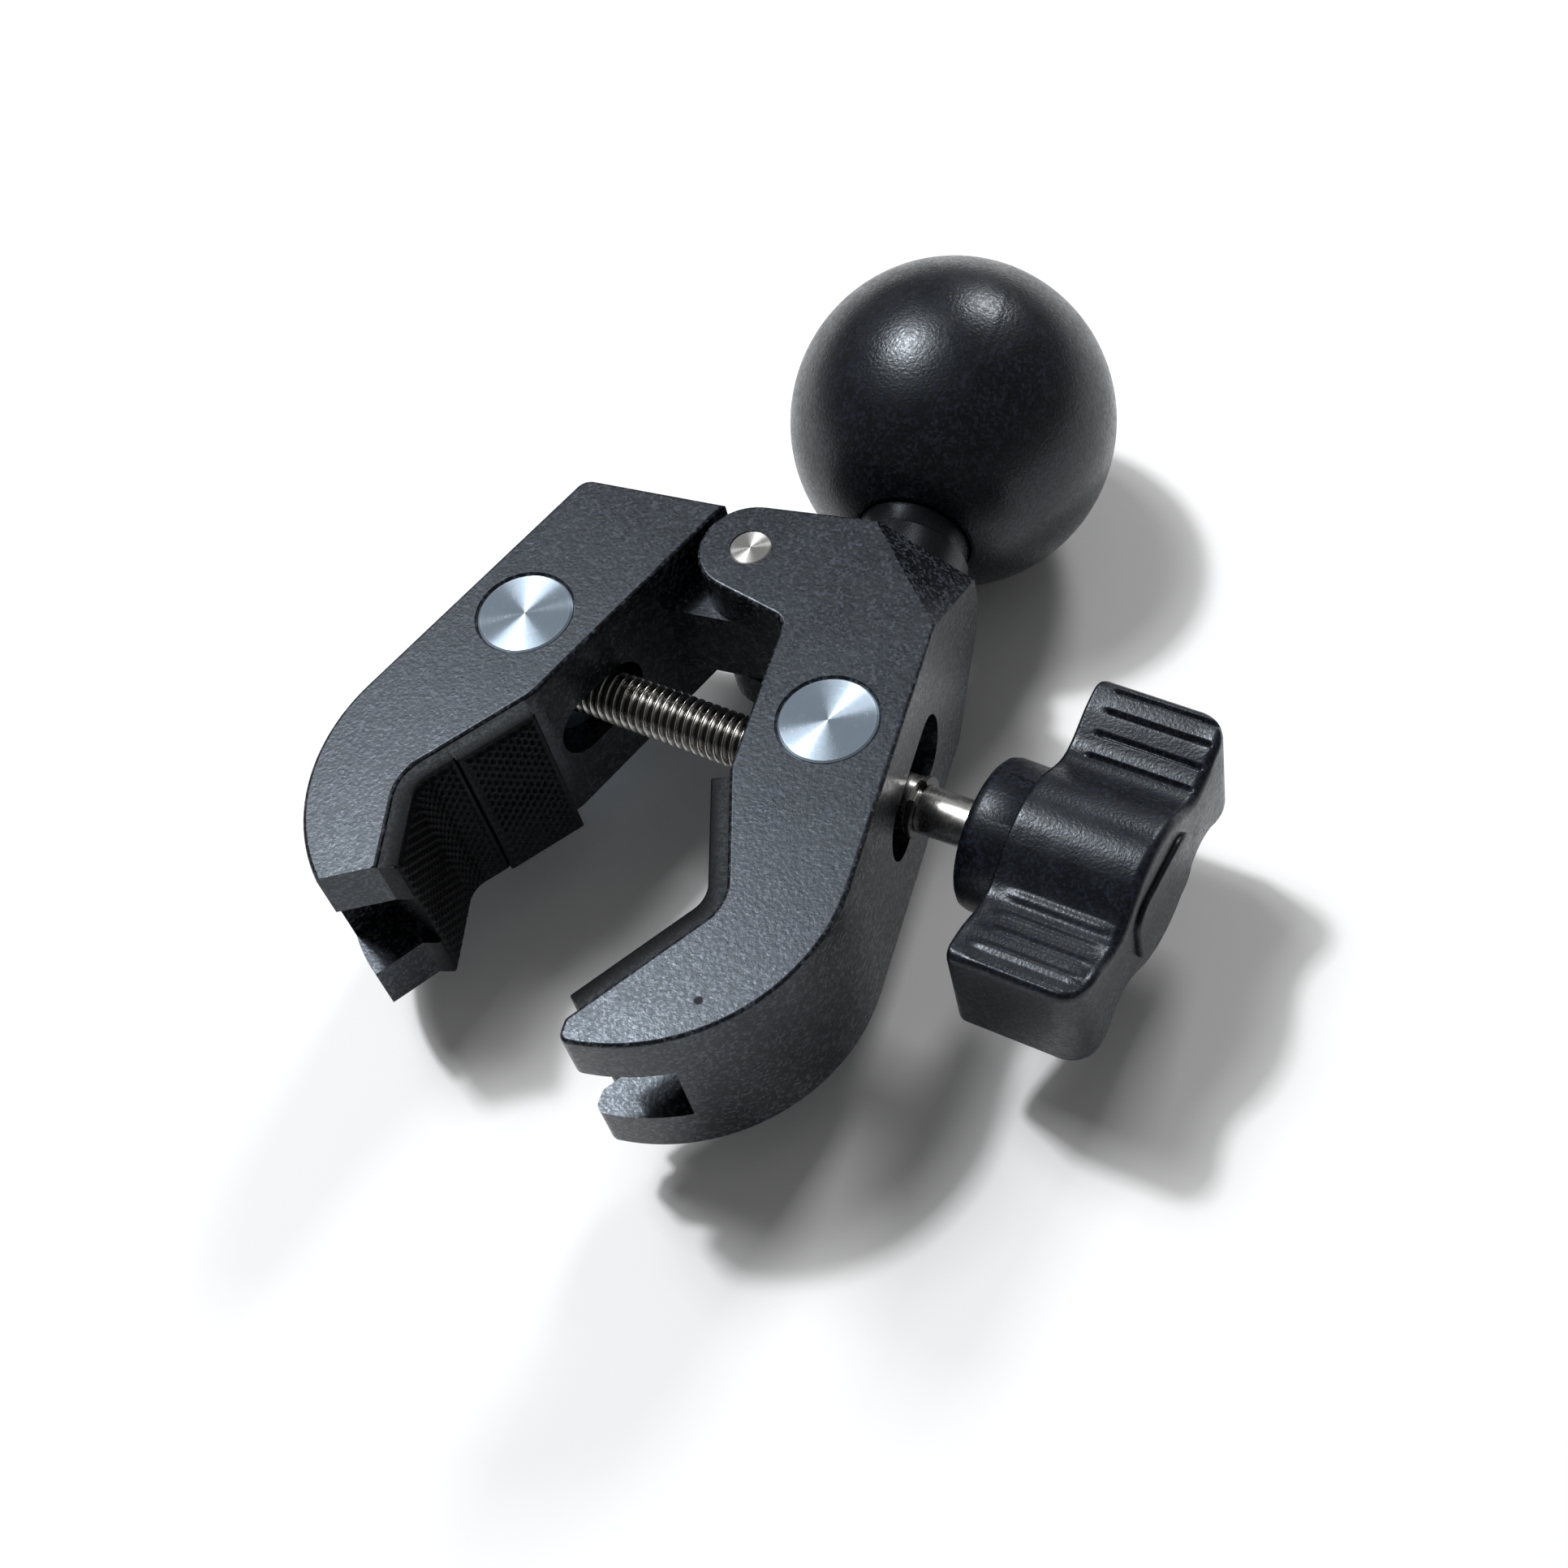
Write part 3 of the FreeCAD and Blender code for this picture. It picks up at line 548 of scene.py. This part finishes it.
def lift_skin(tree, geometry, amount):
    """Every point moved outwards along its normal by this many metres."""
    normal = node(tree, "GeometryNodeInputNormal").outputs[0]
    return shift(tree, geometry, vector(tree, "SCALE", normal, Scale=amount))


# %% [markdown]
# ## The screw
# M6 with 1 mm pitch, rolled on a blank of the pitch diameter, so the thread stands proud of the plain
# shank. A thread is a rule, not a drawing: the radius depends on how far along and how far round a
# point is. So a finely divided cylinder is pushed in by that rule, and the push fades at the runout. A
# swept profile would need caps and a seam at both ends.

# %% Thread tree
CREST_ENDS, ROOT_STARTS = 0.14, 0.80


def thread_rule():
    """A cylinder along Z with a thread rolled into it."""
    tree, given = new_tree("rolled_thread", Length=0.04, Radius=0.003, Shank=0.00265, Depth=0.0006,
                           Pitch=0.001, Runout=0.0015, Around=48, Along=400, Finish=None)
    blank = node(tree, "GeometryNodeMeshCylinder", {
        "Vertices": given["Around"], "Side Segments": given["Along"], "Radius": given["Radius"],
        "Depth": given["Length"]}, fill_type="NGON").outputs["Mesh"]
    x, y, z = position(tree)
    round_part = calc(tree, "DIVIDE", calc(tree, "ARCTAN2", y, x), 2 * math.pi)
    turns = calc(tree, "SUBTRACT", calc(tree, "DIVIDE", z, given["Pitch"]), round_part)
    root = remap(tree, zigzag(tree, turns), CREST_ENDS, ROOT_STARTS, 0.0, given["Depth"])
    half_length = calc(tree, "MULTIPLY", given["Length"], 0.5)
    from_end = calc(tree, "SUBTRACT", half_length, calc(tree, "ABSOLUTE", z))
    full = remap(tree, from_end, 0.0, given["Runout"], 0.0, 1.0)
    threaded = calc(tree, "MULTIPLY", calc(tree, "SUBTRACT", given["Radius"], root), full)
    plain = calc(tree, "MULTIPLY", given["Shank"], calc(tree, "SUBTRACT", 1.0, full))
    share = calc(tree, "DIVIDE", calc(tree, "ADD", threaded, plain), given["Radius"])
    cut = node(tree, "ShaderNodeCombineXYZ", {0: calc(tree, "MULTIPLY", x, share),
                                              1: calc(tree, "MULTIPLY", y, share), 2: z}).outputs[0]
    shaped = node(tree, "GeometryNodeSetPosition", {"Geometry": blank, "Position": cut}).outputs[0]
    end_tree(tree, shaped, given["Finish"])
    return tree


thread_tree = thread_rule()
print("thread tree:", len(thread_tree.nodes), "nodes")

# %% Thread and shank
THREAD_FROM, THREAD_TO, STEPS_PER_MM = -45.8, -5.65, 14
SHANK, GROOVE, SOFT_EDGE = 2.65, 2.30, 0.00006
thread_long = THREAD_TO - THREAD_FROM
thread = add_piece("screw_thread", [(0, 0, 0)], [], rolled_steel)
run_tree(thread, thread_tree, Length=thread_long * MM, Along=int(thread_long * STEPS_PER_MM),
         Finish=rolled_steel)
thread.data.transform(screw_place @ Matrix.Translation(((THREAD_FROM + THREAD_TO) / 2 * MM, 0, 0))
                      @ Matrix.Rotation(math.pi / 2, 4, "Y"))
thread.data.shade_smooth()
shank = lathe("screw_shank", [
    (-5.8, 0), (28.6, 0), (28.9, SHANK - 0.3), (28.6, SHANK), (9.7, SHANK), (9.65, GROOVE), (8.95, GROOVE),
    (8.9, SHANK), (-4.9, SHANK), (-4.95, GROOVE), (-5.65, GROOVE), (-5.7, SHANK), (-5.8, SHANK)],
    bright_steel, screw_place)
tail = lathe("screw_tail", [
    (-45.7, 0), (-45.7, GROOVE), (-46.5, GROOVE), (-46.5, SHANK), (-47.5, SHANK), (-47.9, SHANK - 0.4),
    (-47.9, 0)], bright_steel, screw_place)
for turned_piece in (shank, tail):
    bevel = turned_piece.modifiers.new("soft_edges", "BEVEL")
    bevel.width, bevel.segments, bevel.limit_method = SOFT_EDGE, 2, "ANGLE"
    keep_result(turned_piece)
    report(turned_piece, ["clamp_screw"])
report(thread, ["clamp_screw"])

# %% [markdown]
# ## Rubber pads
# Each pad is a strip about 2 mm thick that follows the hollow of its jaw, with a diamond knurl moulded
# into the gripping face and a smooth border. The strip is laid out as a fine grid: along the hollow and
# across the jaw. The tree then sinks two crossing families of grooves into the face. Bump in the finish
# would leave the outline of the face smooth, and on rubber it is seen edge-on.

# %% Knurl tree
CREST_HALF, FLOOR_STARTS = 0.25, 0.85


def knurl_rule():
    """Diamonds pressed into the points marked as face, laid out by how far along the strip they are."""
    tree, given = new_tree("diamond_knurl", Spacing=0.00095, Depth=0.0003, Finish=None)
    along, face = (
        node(tree, "GeometryNodeInputNamedAttribute", {"Name": label}, data_type="FLOAT").outputs[0]
        for label in ("along", "face"))
    _, _, z = position(tree)
    slope = calc(tree, "MULTIPLY", given["Spacing"], math.sqrt(2))
    families = [zigzag(tree, calc(tree, "DIVIDE", calc(tree, way, along, z), slope))
                for way in ("ADD", "SUBTRACT")]
    flanks = [remap(tree, family, CREST_HALF, FLOOR_STARTS, 0.0, 1.0) for family in families]
    deepest = calc(tree, "MULTIPLY", face, given["Depth"])
    sunk = calc(tree, "MULTIPLY", calc(tree, "MAXIMUM", *flanks), deepest)
    pressed = lift_skin(tree, given["Geometry"], calc(tree, "MULTIPLY", sunk, -1.0))
    end_tree(tree, pressed, given["Finish"])
    return tree


knurl_tree = knurl_rule()
print("knurl tree:", len(knurl_tree.nodes), "nodes")

# %% Strip along a hollow
PAD_WIDE, PAD_BORDER, PAD_FADE, PAD_STEP, PAD_BEND, PAD_ROUND = 21.4, 0.5, 0.35, 0.17, 5.5, 0.25
NOTCH_HALF, PAD_SHARP = 4.5, math.radians(40)


def smooth_line(points, bend, step):
    """The corners as short straight runs, with the middle corners rounded to the given radius."""
    line = [points[0]]
    for before, corner, after in zip(points, points[1:], points[2:]):
        come, leave = (corner - before).normalized(), (after - corner).normalized()
        turn = come.angle(leave)
        side = 1 if come.x * leave.y - come.y * leave.x > 0 else -1
        start = corner - come * bend * math.tan(turn / 2)
        centre = start + Vector((-come.y, come.x)) * bend * side
        steps = max(4, int(turn * bend / step))
        for i in range(steps + 1):
            line.append(centre + Matrix.Rotation(side * turn * i / steps, 2) @ (start - centre))
    line.append(points[-1])
    fine = [line[0]]
    for a, b in zip(line, line[1:]):
        parts = max(1, round((b - a).length / step))
        fine += [a.lerp(b, i / parts) for i in range(1, parts + 1)]
    return fine


def pad_points(line, thick, sign):
    """Points of the glued side and of the face, how far along each is, and its share of the knurl."""
    rows, count = round(PAD_WIDE / PAD_STEP), len(line)
    lengths = np.concatenate([[0], np.cumsum([(b - a).length for a, b in zip(line, line[1:])])])
    tangents = [(line[min(i + 1, count - 1)] - line[max(i - 1, 0)]).normalized() for i in range(count)]
    verts, alongs, face_shares = [], [], []
    for lift in (0.0, thick):
        for length, point, tangent in zip(lengths, line, tangents):
            out = Vector((sign * tangent.y, -sign * tangent.x))
            for row in range(rows + 1):
                z = -PAD_WIDE / 2 + PAD_WIDE * row / rows
                edge = min(length, lengths[-1] - length, PAD_WIDE / 2 - abs(z))
                spot = point + out * (max(0.0, lift - inset(edge, PAD_ROUND)) if lift else 0.0)
                verts.append((spot.x * MM, spot.y * MM, z * MM))
                alongs.append(length * MM)
                face_shares.append(min(1.0, max(0.0, (edge - PAD_BORDER) / PAD_FADE)) if lift else 0.0)
    return verts, alongs, face_shares, rows


def pad_faces(count, rows):
    """Faces of both layers, and of the rim that joins them."""
    wide, layer = rows + 1, count * (rows + 1)
    faces = []
    for i in range(count - 1):
        for a in range(i * wide, i * wide + rows):
            b, c, d = a + 1, a + wide + 1, a + wide
            faces += [(a, b, c, d), (layer + d, layer + c, layer + b, layer + a)]
    rim = [*range(wide), *(i * wide + rows for i in range(1, count)),
           *((count - 1) * wide + row for row in range(rows - 1, -1, -1)),
           *(i * wide for i in range(count - 2, 0, -1))]
    return faces + [(b, a, layer + a, layer + b) for a, b in zip(rim, rim[1:] + rim[:1])]


def cut_notch(piece, corners):
    """Cut the channel of the jaw's tip through the pad as well."""
    verts = [(x * MM, y * MM, z * MM) for z in (-NOTCH_HALF, NOTCH_HALF) for x, y in corners]
    count = len(corners)
    caps = [tuple(range(count))[::-1], tuple(range(count, 2 * count))]
    tool = add_piece("notch_tool", verts, caps + between_rings(2, count), pad_rubber, smooth=False)
    turn_outwards(tool)
    combine(piece, tool, "DIFFERENCE")


def pad_strip(name, back, thick, sign, turn, node_name, notch):
    """A knurled strip. back: corners of its glued side in the jaw's plane, in mm from the hinge."""
    line = smooth_line([Vector(corner) for corner in back], PAD_BEND, PAD_STEP)
    verts, alongs, face_shares, rows = pad_points(line, thick, sign)
    piece = add_piece(name, verts, pad_faces(len(line), rows), pad_rubber, smooth=False)
    for label, values in (("along", alongs), ("face", face_shares)):
        piece.data.attributes.new(label, "FLOAT", "POINT").data.foreach_set("value", values)
    run_tree(piece, knurl_tree, Finish=pad_rubber)
    turn_outwards(piece)
    if notch:
        cut_notch(piece, notch)
    piece.data.transform(Matrix.Translation(hinge_at) @ Matrix.Rotation(math.radians(turn), 4, "Z"))
    piece.data.set_sharp_from_angle(angle=PAD_SHARP)
    report(piece, [node_name])
    return piece


# %% The three pads
OPEN_ANGLE, FULL_THICK, THIN_THICK = 24.4, 2.5, 2.0
FIXED_THROAT, FIXED_VALLEY, FIXED_TIP = (6.5, -28.0), (11.2, -43.7), (-0.6, -59.0)
ARM_THROAT, ARM_VALLEY, ARM_TIP = (-6.5, -28.0), (-11.2, -43.7), (-4.6, -52.94)


def run_on(start, end, distance):
    """The point this many mm from start towards end."""
    return Vector(start) + (Vector(end) - Vector(start)).normalized() * distance


split = run_on(ARM_THROAT, ARM_VALLEY, 10.5)
fixed_pad = pad_strip(
    "fixed_pad_knurled",
    [run_on(FIXED_THROAT, FIXED_VALLEY, 1.0), FIXED_VALLEY, run_on(FIXED_TIP, FIXED_VALLEY, 1.7)],
    THIN_THICK, 1, 0.0, "fixed_jaw_pad", [(-5.6, -66.5), (11.4, -66.5), (7.4, -51.0), (-5.6, -51.0)])
inner_pad = pad_strip(
    "inner_pad_knurled", [run_on(ARM_THROAT, ARM_VALLEY, 1.0), split],
    FULL_THICK, -1, -OPEN_ANGLE, "moving_jaw_inner_pad", None)
tip_pad = pad_strip(
    "tip_pad_knurled", [run_on(split, ARM_VALLEY, 0.01), ARM_VALLEY, ARM_TIP],
    THIN_THICK, -1, -OPEN_ANGLE, "moving_jaw_tip_pad",
    [(4.6, -64.4), (-12.6, -64.4), (-10.6, -51.4), (4.6, -51.4)])

# %% [markdown]
# ## The knob
# Black nylon, moulded: a round hub, and a wing whose section swells over the hub, falls to a hollow for
# the finger and rises again to the tip. Turning the wing half a turn gives the same shape, so one wing
# shows fine grooves on top and the other shows ribs. The section is a smooth line through a few heights,
# drawn out along the screw, with the corners and rims rounded as it goes.

# %% Wing section
HALF_SPAN, WING_FRONT, WING_BACK, WAIST, TIP_ROUND = 18.25, 21.9, 36.7, 12.0, 1.1
CORNER_FRONT, CORNER_BACK, RIM_FRONT, RIM_BACK = 1.0, 3.4, 0.45, 1.1
SECTION_POINTS, STATION_STEP = 341, 0.3
HEIGHTS = [(0, 8.55), (2, 8.32), (4, 7.60), (5.5, 6.70), (6.8, 5.80), (8.0, 5.15), (9.3, 4.85), (10.8, 5.02),
           (12.5, 5.62), (14.5, 6.30), (16.5, 6.66), (18.25, 6.75)]
KNOTS = [(-2, 8.32)] + HEIGHTS + [(20, 6.8)]


def wing_height(across):
    """Height of the wing at this distance from the screw's axis, by a smooth line through HEIGHTS."""
    across = abs(across)
    for i in range(1, len(KNOTS) - 2):
        if across <= KNOTS[i + 1][0] + 1e-9:
            break
    (xa, a), (xb, b), (xc, c), (xd, d) = KNOTS[i - 1:i + 3]
    t = (across - xb) / (xc - xb)
    slope_b, slope_c = (c - a) / (xc - xa) * (xc - xb), (d - b) / (xd - xb) * (xc - xb)
    return ((2 * t ** 3 - 3 * t ** 2 + 1) * b + (t ** 3 - 2 * t ** 2 + t) * slope_b
            + (3 * t ** 2 - 2 * t ** 3) * c + (t ** 3 - t ** 2) * slope_c)


def end_steps(rim):
    """Distances from an end of the wing, close together where its rim bends."""
    return [rim * (1 - math.cos(angle)) for angle in np.linspace(0, math.pi / 2, 8)]


def wing(name):
    """The wing as closed rings round its section, which draw in at the rims and at the outer corners."""
    section = [(v, wing_height(v) - inset(HALF_SPAN - abs(v), TIP_ROUND))
               for v in np.linspace(-HALF_SPAN, HALF_SPAN, SECTION_POINTS)]
    section += [(-v, -w) for v, w in section]
    depth, verts, count = WING_BACK - WING_FRONT, [], len(section)
    stations = [*end_steps(RIM_FRONT), *np.arange(RIM_FRONT + STATION_STEP, depth - RIM_BACK, STATION_STEP),
                *(depth - s for s in end_steps(RIM_BACK)[::-1])]
    for s in stations:
        shrink = inset(s, RIM_FRONT) + inset(depth - s, RIM_BACK)
        pull = inset(s, CORNER_FRONT) + inset(depth - s, CORNER_BACK)
        for v, w in section:
            past_waist = max(0.0, abs(v) - WAIST) / (HALF_SPAN - WAIST)
            verts.append(((WING_FRONT + s) * MM, (v - math.copysign(pull * past_waist, v)) * MM,
                          (w - math.copysign(shrink, w)) * MM))
    ends = [tuple(range(count))[::-1], tuple((len(stations) - 1) * count + j for j in range(count))]
    return add_piece(name, verts, between_rings(len(stations), count) + ends, knob_nylon)


# %% Grip tree: grooves on one side of each wing, ribs on the other


def grip_rule():
    """Count even lines along the screw, sunk by Depth or raised by -Depth, on the top of one wing
    (Side 1 or -1) and the underside of the other."""
    tree, given = new_tree("wing_grip", First=0.0098, Pitch=0.0024, Count=4, Width=0.00038, Depth=0.00045,
                           Front=0.0240, Back=0.0360, Fade=0.0006, Side=1.0, Finish=None)
    x, y, z = position(tree)
    top_side = calc(tree, "SIGN", z)
    across = calc(tree, "MULTIPLY", calc(tree, "MULTIPLY", y, given["Side"]), top_side)
    step_no = calc(tree, "DIVIDE", calc(tree, "SUBTRACT", across, given["First"]), given["Pitch"])
    last_no = calc(tree, "SUBTRACT", given["Count"], 1.0)
    nearest = calc(tree, "MAXIMUM", 0.0, calc(tree, "MINIMUM", calc(tree, "ROUND", step_no), last_no))
    steps_off = calc(tree, "ABSOLUTE", calc(tree, "SUBTRACT", step_no, nearest))
    away = calc(tree, "MULTIPLY", steps_off, given["Pitch"])
    line = remap(tree, away, 0.0, given["Width"], 1.0, 0.0, "SMOOTHSTEP")
    started, ended = (
        remap(tree, calc(tree, "SUBTRACT", high, low), 0.0, given["Fade"], 0.0, 1.0, "SMOOTHSTEP")
        for high, low in ((x, given["Front"]), (given["Back"], x)))
    push = calc(tree, "MULTIPLY", calc(tree, "MULTIPLY", line, given["Depth"]),
                calc(tree, "MULTIPLY", started, ended))
    rise = calc(tree, "MULTIPLY", push, calc(tree, "MULTIPLY", top_side, -1.0))
    moved = shift(tree, given["Geometry"], node(tree, "ShaderNodeCombineXYZ", {2: rise}).outputs[0])
    end_tree(tree, moved, given["Finish"])
    return tree


grip_tree = grip_rule()
print("grip tree:", len(grip_tree.nodes), "nodes")

# %% Knob from wing and hub
HUB, HUB_BORE, HUB_STEPS, KNOB_SHARP = 8.4, 5.02, 128, math.radians(50)
knob = wing("knob_wing")
run_tree(knob, grip_tree, Side=1.0, Finish=knob_nylon)
run_tree(knob, grip_tree, Side=-1.0, First=0.0085, Pitch=0.0023, Count=5, Width=0.00085, Depth=-0.00020,
         Front=0.0232, Back=0.0362, Fade=0.0022, Finish=knob_nylon)
turn_outwards(knob)
hub = lathe("knob_hub", [
    (17.0, HUB_BORE), (17.0, HUB - 1.2), (17.12, HUB - 0.6), (17.5, HUB - 0.18), (18.2, HUB), (22.5, HUB),
    (24.0, HUB - 0.8), (24.0, HUB_BORE)], knob_nylon, Matrix.Identity(4), HUB_STEPS)
combine(knob, hub, "UNION")
knob.data.transform(screw_place)
knob.data.set_sharp_from_angle(angle=KNOB_SHARP)
report(knob, ["knob_body"])

# %% [markdown]
# ## The knob's end panel
# A low raised panel with round ends closes the back of the knob, over the end of the screw. It is a
# thin slab with a rounded rim, which catches a thin line of light.

# %% End panel
PANEL_SHARP = math.radians(40)


def end_panel(name, half_long=6.28, half_high=4.68, base=36.5, proud=0.78, rim=0.35, corner=3.0, steps=96):
    """The panel as rings that rise from its base and draw in over its rim, in mm along the screw."""
    verts = []
    levels = [(0.0, 0.0)] + [(proud - rim + rim * math.sin(a), rim * (1 - math.cos(a)))
                             for a in np.linspace(0, math.pi / 2, 7)]
    for lift, drawn_in in levels:
        for i in range(steps):
            angle = 2 * math.pi * i / steps
            cx, cy = math.cos(angle), math.sin(angle)
            v = math.copysign(half_long - corner, cx) + (corner - drawn_in) * cx
            w = math.copysign(half_high - corner, cy) + (corner - drawn_in) * cy
            verts.append(((base + lift) * MM, v * MM, w * MM))
    verts.append(((base + proud) * MM, 0, 0))
    last = (len(levels) - 1) * steps
    top = [(last + j, last + (j + 1) % steps, len(verts) - 1) for j in range(steps)]
    faces = between_rings(len(levels), steps) + top + [tuple(range(steps))[::-1]]
    made = add_piece(name, verts, faces, knob_nylon)
    turn_outwards(made)
    made.data.transform(screw_place)
    made.data.set_sharp_from_angle(angle=PANEL_SHARP)
    report(made, ["knob_cap"])
    return made


panel = end_panel("knob_end_panel")

# %% [markdown]
# ## The ball
# A composite shell moulded over the metal core. Two mould halves meet on a plane through the stem, and
# leave a parting line a few hundredths of a millimetre proud. The shell is turned about the stem, and a
# tree lifts the skin along that plane.

# %% Parting line tree


def parting_rule():
    """A low ridge where the skin meets a plane through Y, tilted from X towards Z."""
    tree, given = new_tree("parting_line", Proud=0.00005, Width=0.00022, Tilt=0.38, Finish=None)
    x, _, z = position(tree)
    off_plane = calc(tree, "SUBTRACT", calc(tree, "MULTIPLY", x, calc(tree, "COSINE", given["Tilt"])),
                     calc(tree, "MULTIPLY", z, calc(tree, "SINE", given["Tilt"])))
    ridge = remap(tree, calc(tree, "ABSOLUTE", off_plane), 0.0, given["Width"], given["Proud"], 0.0)
    end_tree(tree, lift_skin(tree, given["Geometry"], ridge), given["Finish"])
    return tree


parting_tree = parting_rule()
print("parting tree:", len(parting_tree.nodes), "nodes")

# %% Ball shell
BALL, CORE, NECK, BALL_STEPS = 19.00, 13.01, 6.52, 300
stem_place = Matrix.Rotation(-math.pi / 2, 4, "Z")
neck_angle, core_angle = math.asin(NECK / BALL), math.asin(NECK / CORE)
outer = [(BALL * math.cos(a), BALL * math.sin(a)) for a in np.linspace(neck_angle + 0.02, math.pi, 150)]
inner = [(CORE * math.cos(a), CORE * math.sin(a)) for a in np.linspace(math.pi, core_angle, 40)]
lip = [(BALL * math.cos(neck_angle) - 0.3, NECK)]
outer[-1], inner[0] = (-BALL, 0.0), (-CORE, 0.0)  # the poles, exactly on the axis
ball = lathe("ball_shell", outer + inner + lip, ball_skin, stem_place, BALL_STEPS)
run_tree(ball, parting_tree, Finish=ball_skin)
ball.data.shade_smooth()
report(ball, ["ball_cover"])

# %% [markdown]
# ## Join pieces to the moving bodies and finish
# Every new piece rides on the body of the imported piece that it stands for, and hides it.

# %% Bodies
STANDS_FOR = [
    (thread, "screw", ["clamp_screw"], "screw_steel"),
    (shank, "screw", ["clamp_screw"], "screw_steel"),
    (tail, "screw", ["clamp_screw"], "screw_steel"),
    (knob, "screw", ["knob_body"], "knob_nylon"),
    (panel, "screw", ["knob_cap"], "knob_nylon"),
    (fixed_pad, "frame", ["fixed_jaw_pad"], "pad_rubber"),
    (inner_pad, "moving_arm", ["moving_jaw_inner_pad"], "pad_rubber"),
    (tip_pad, "moving_arm", ["moving_jaw_tip_pad"], "pad_rubber"),
    (ball, "frame", ["ball_cover"], "ball_rubber"),
]
for piece, body, nodes, slot_name in STANDS_FOR:
    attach(piece, body)
    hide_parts(*nodes)
print("triangles:", sum(len(p.data.loop_triangles) for p, *_ in STANDS_FOR))
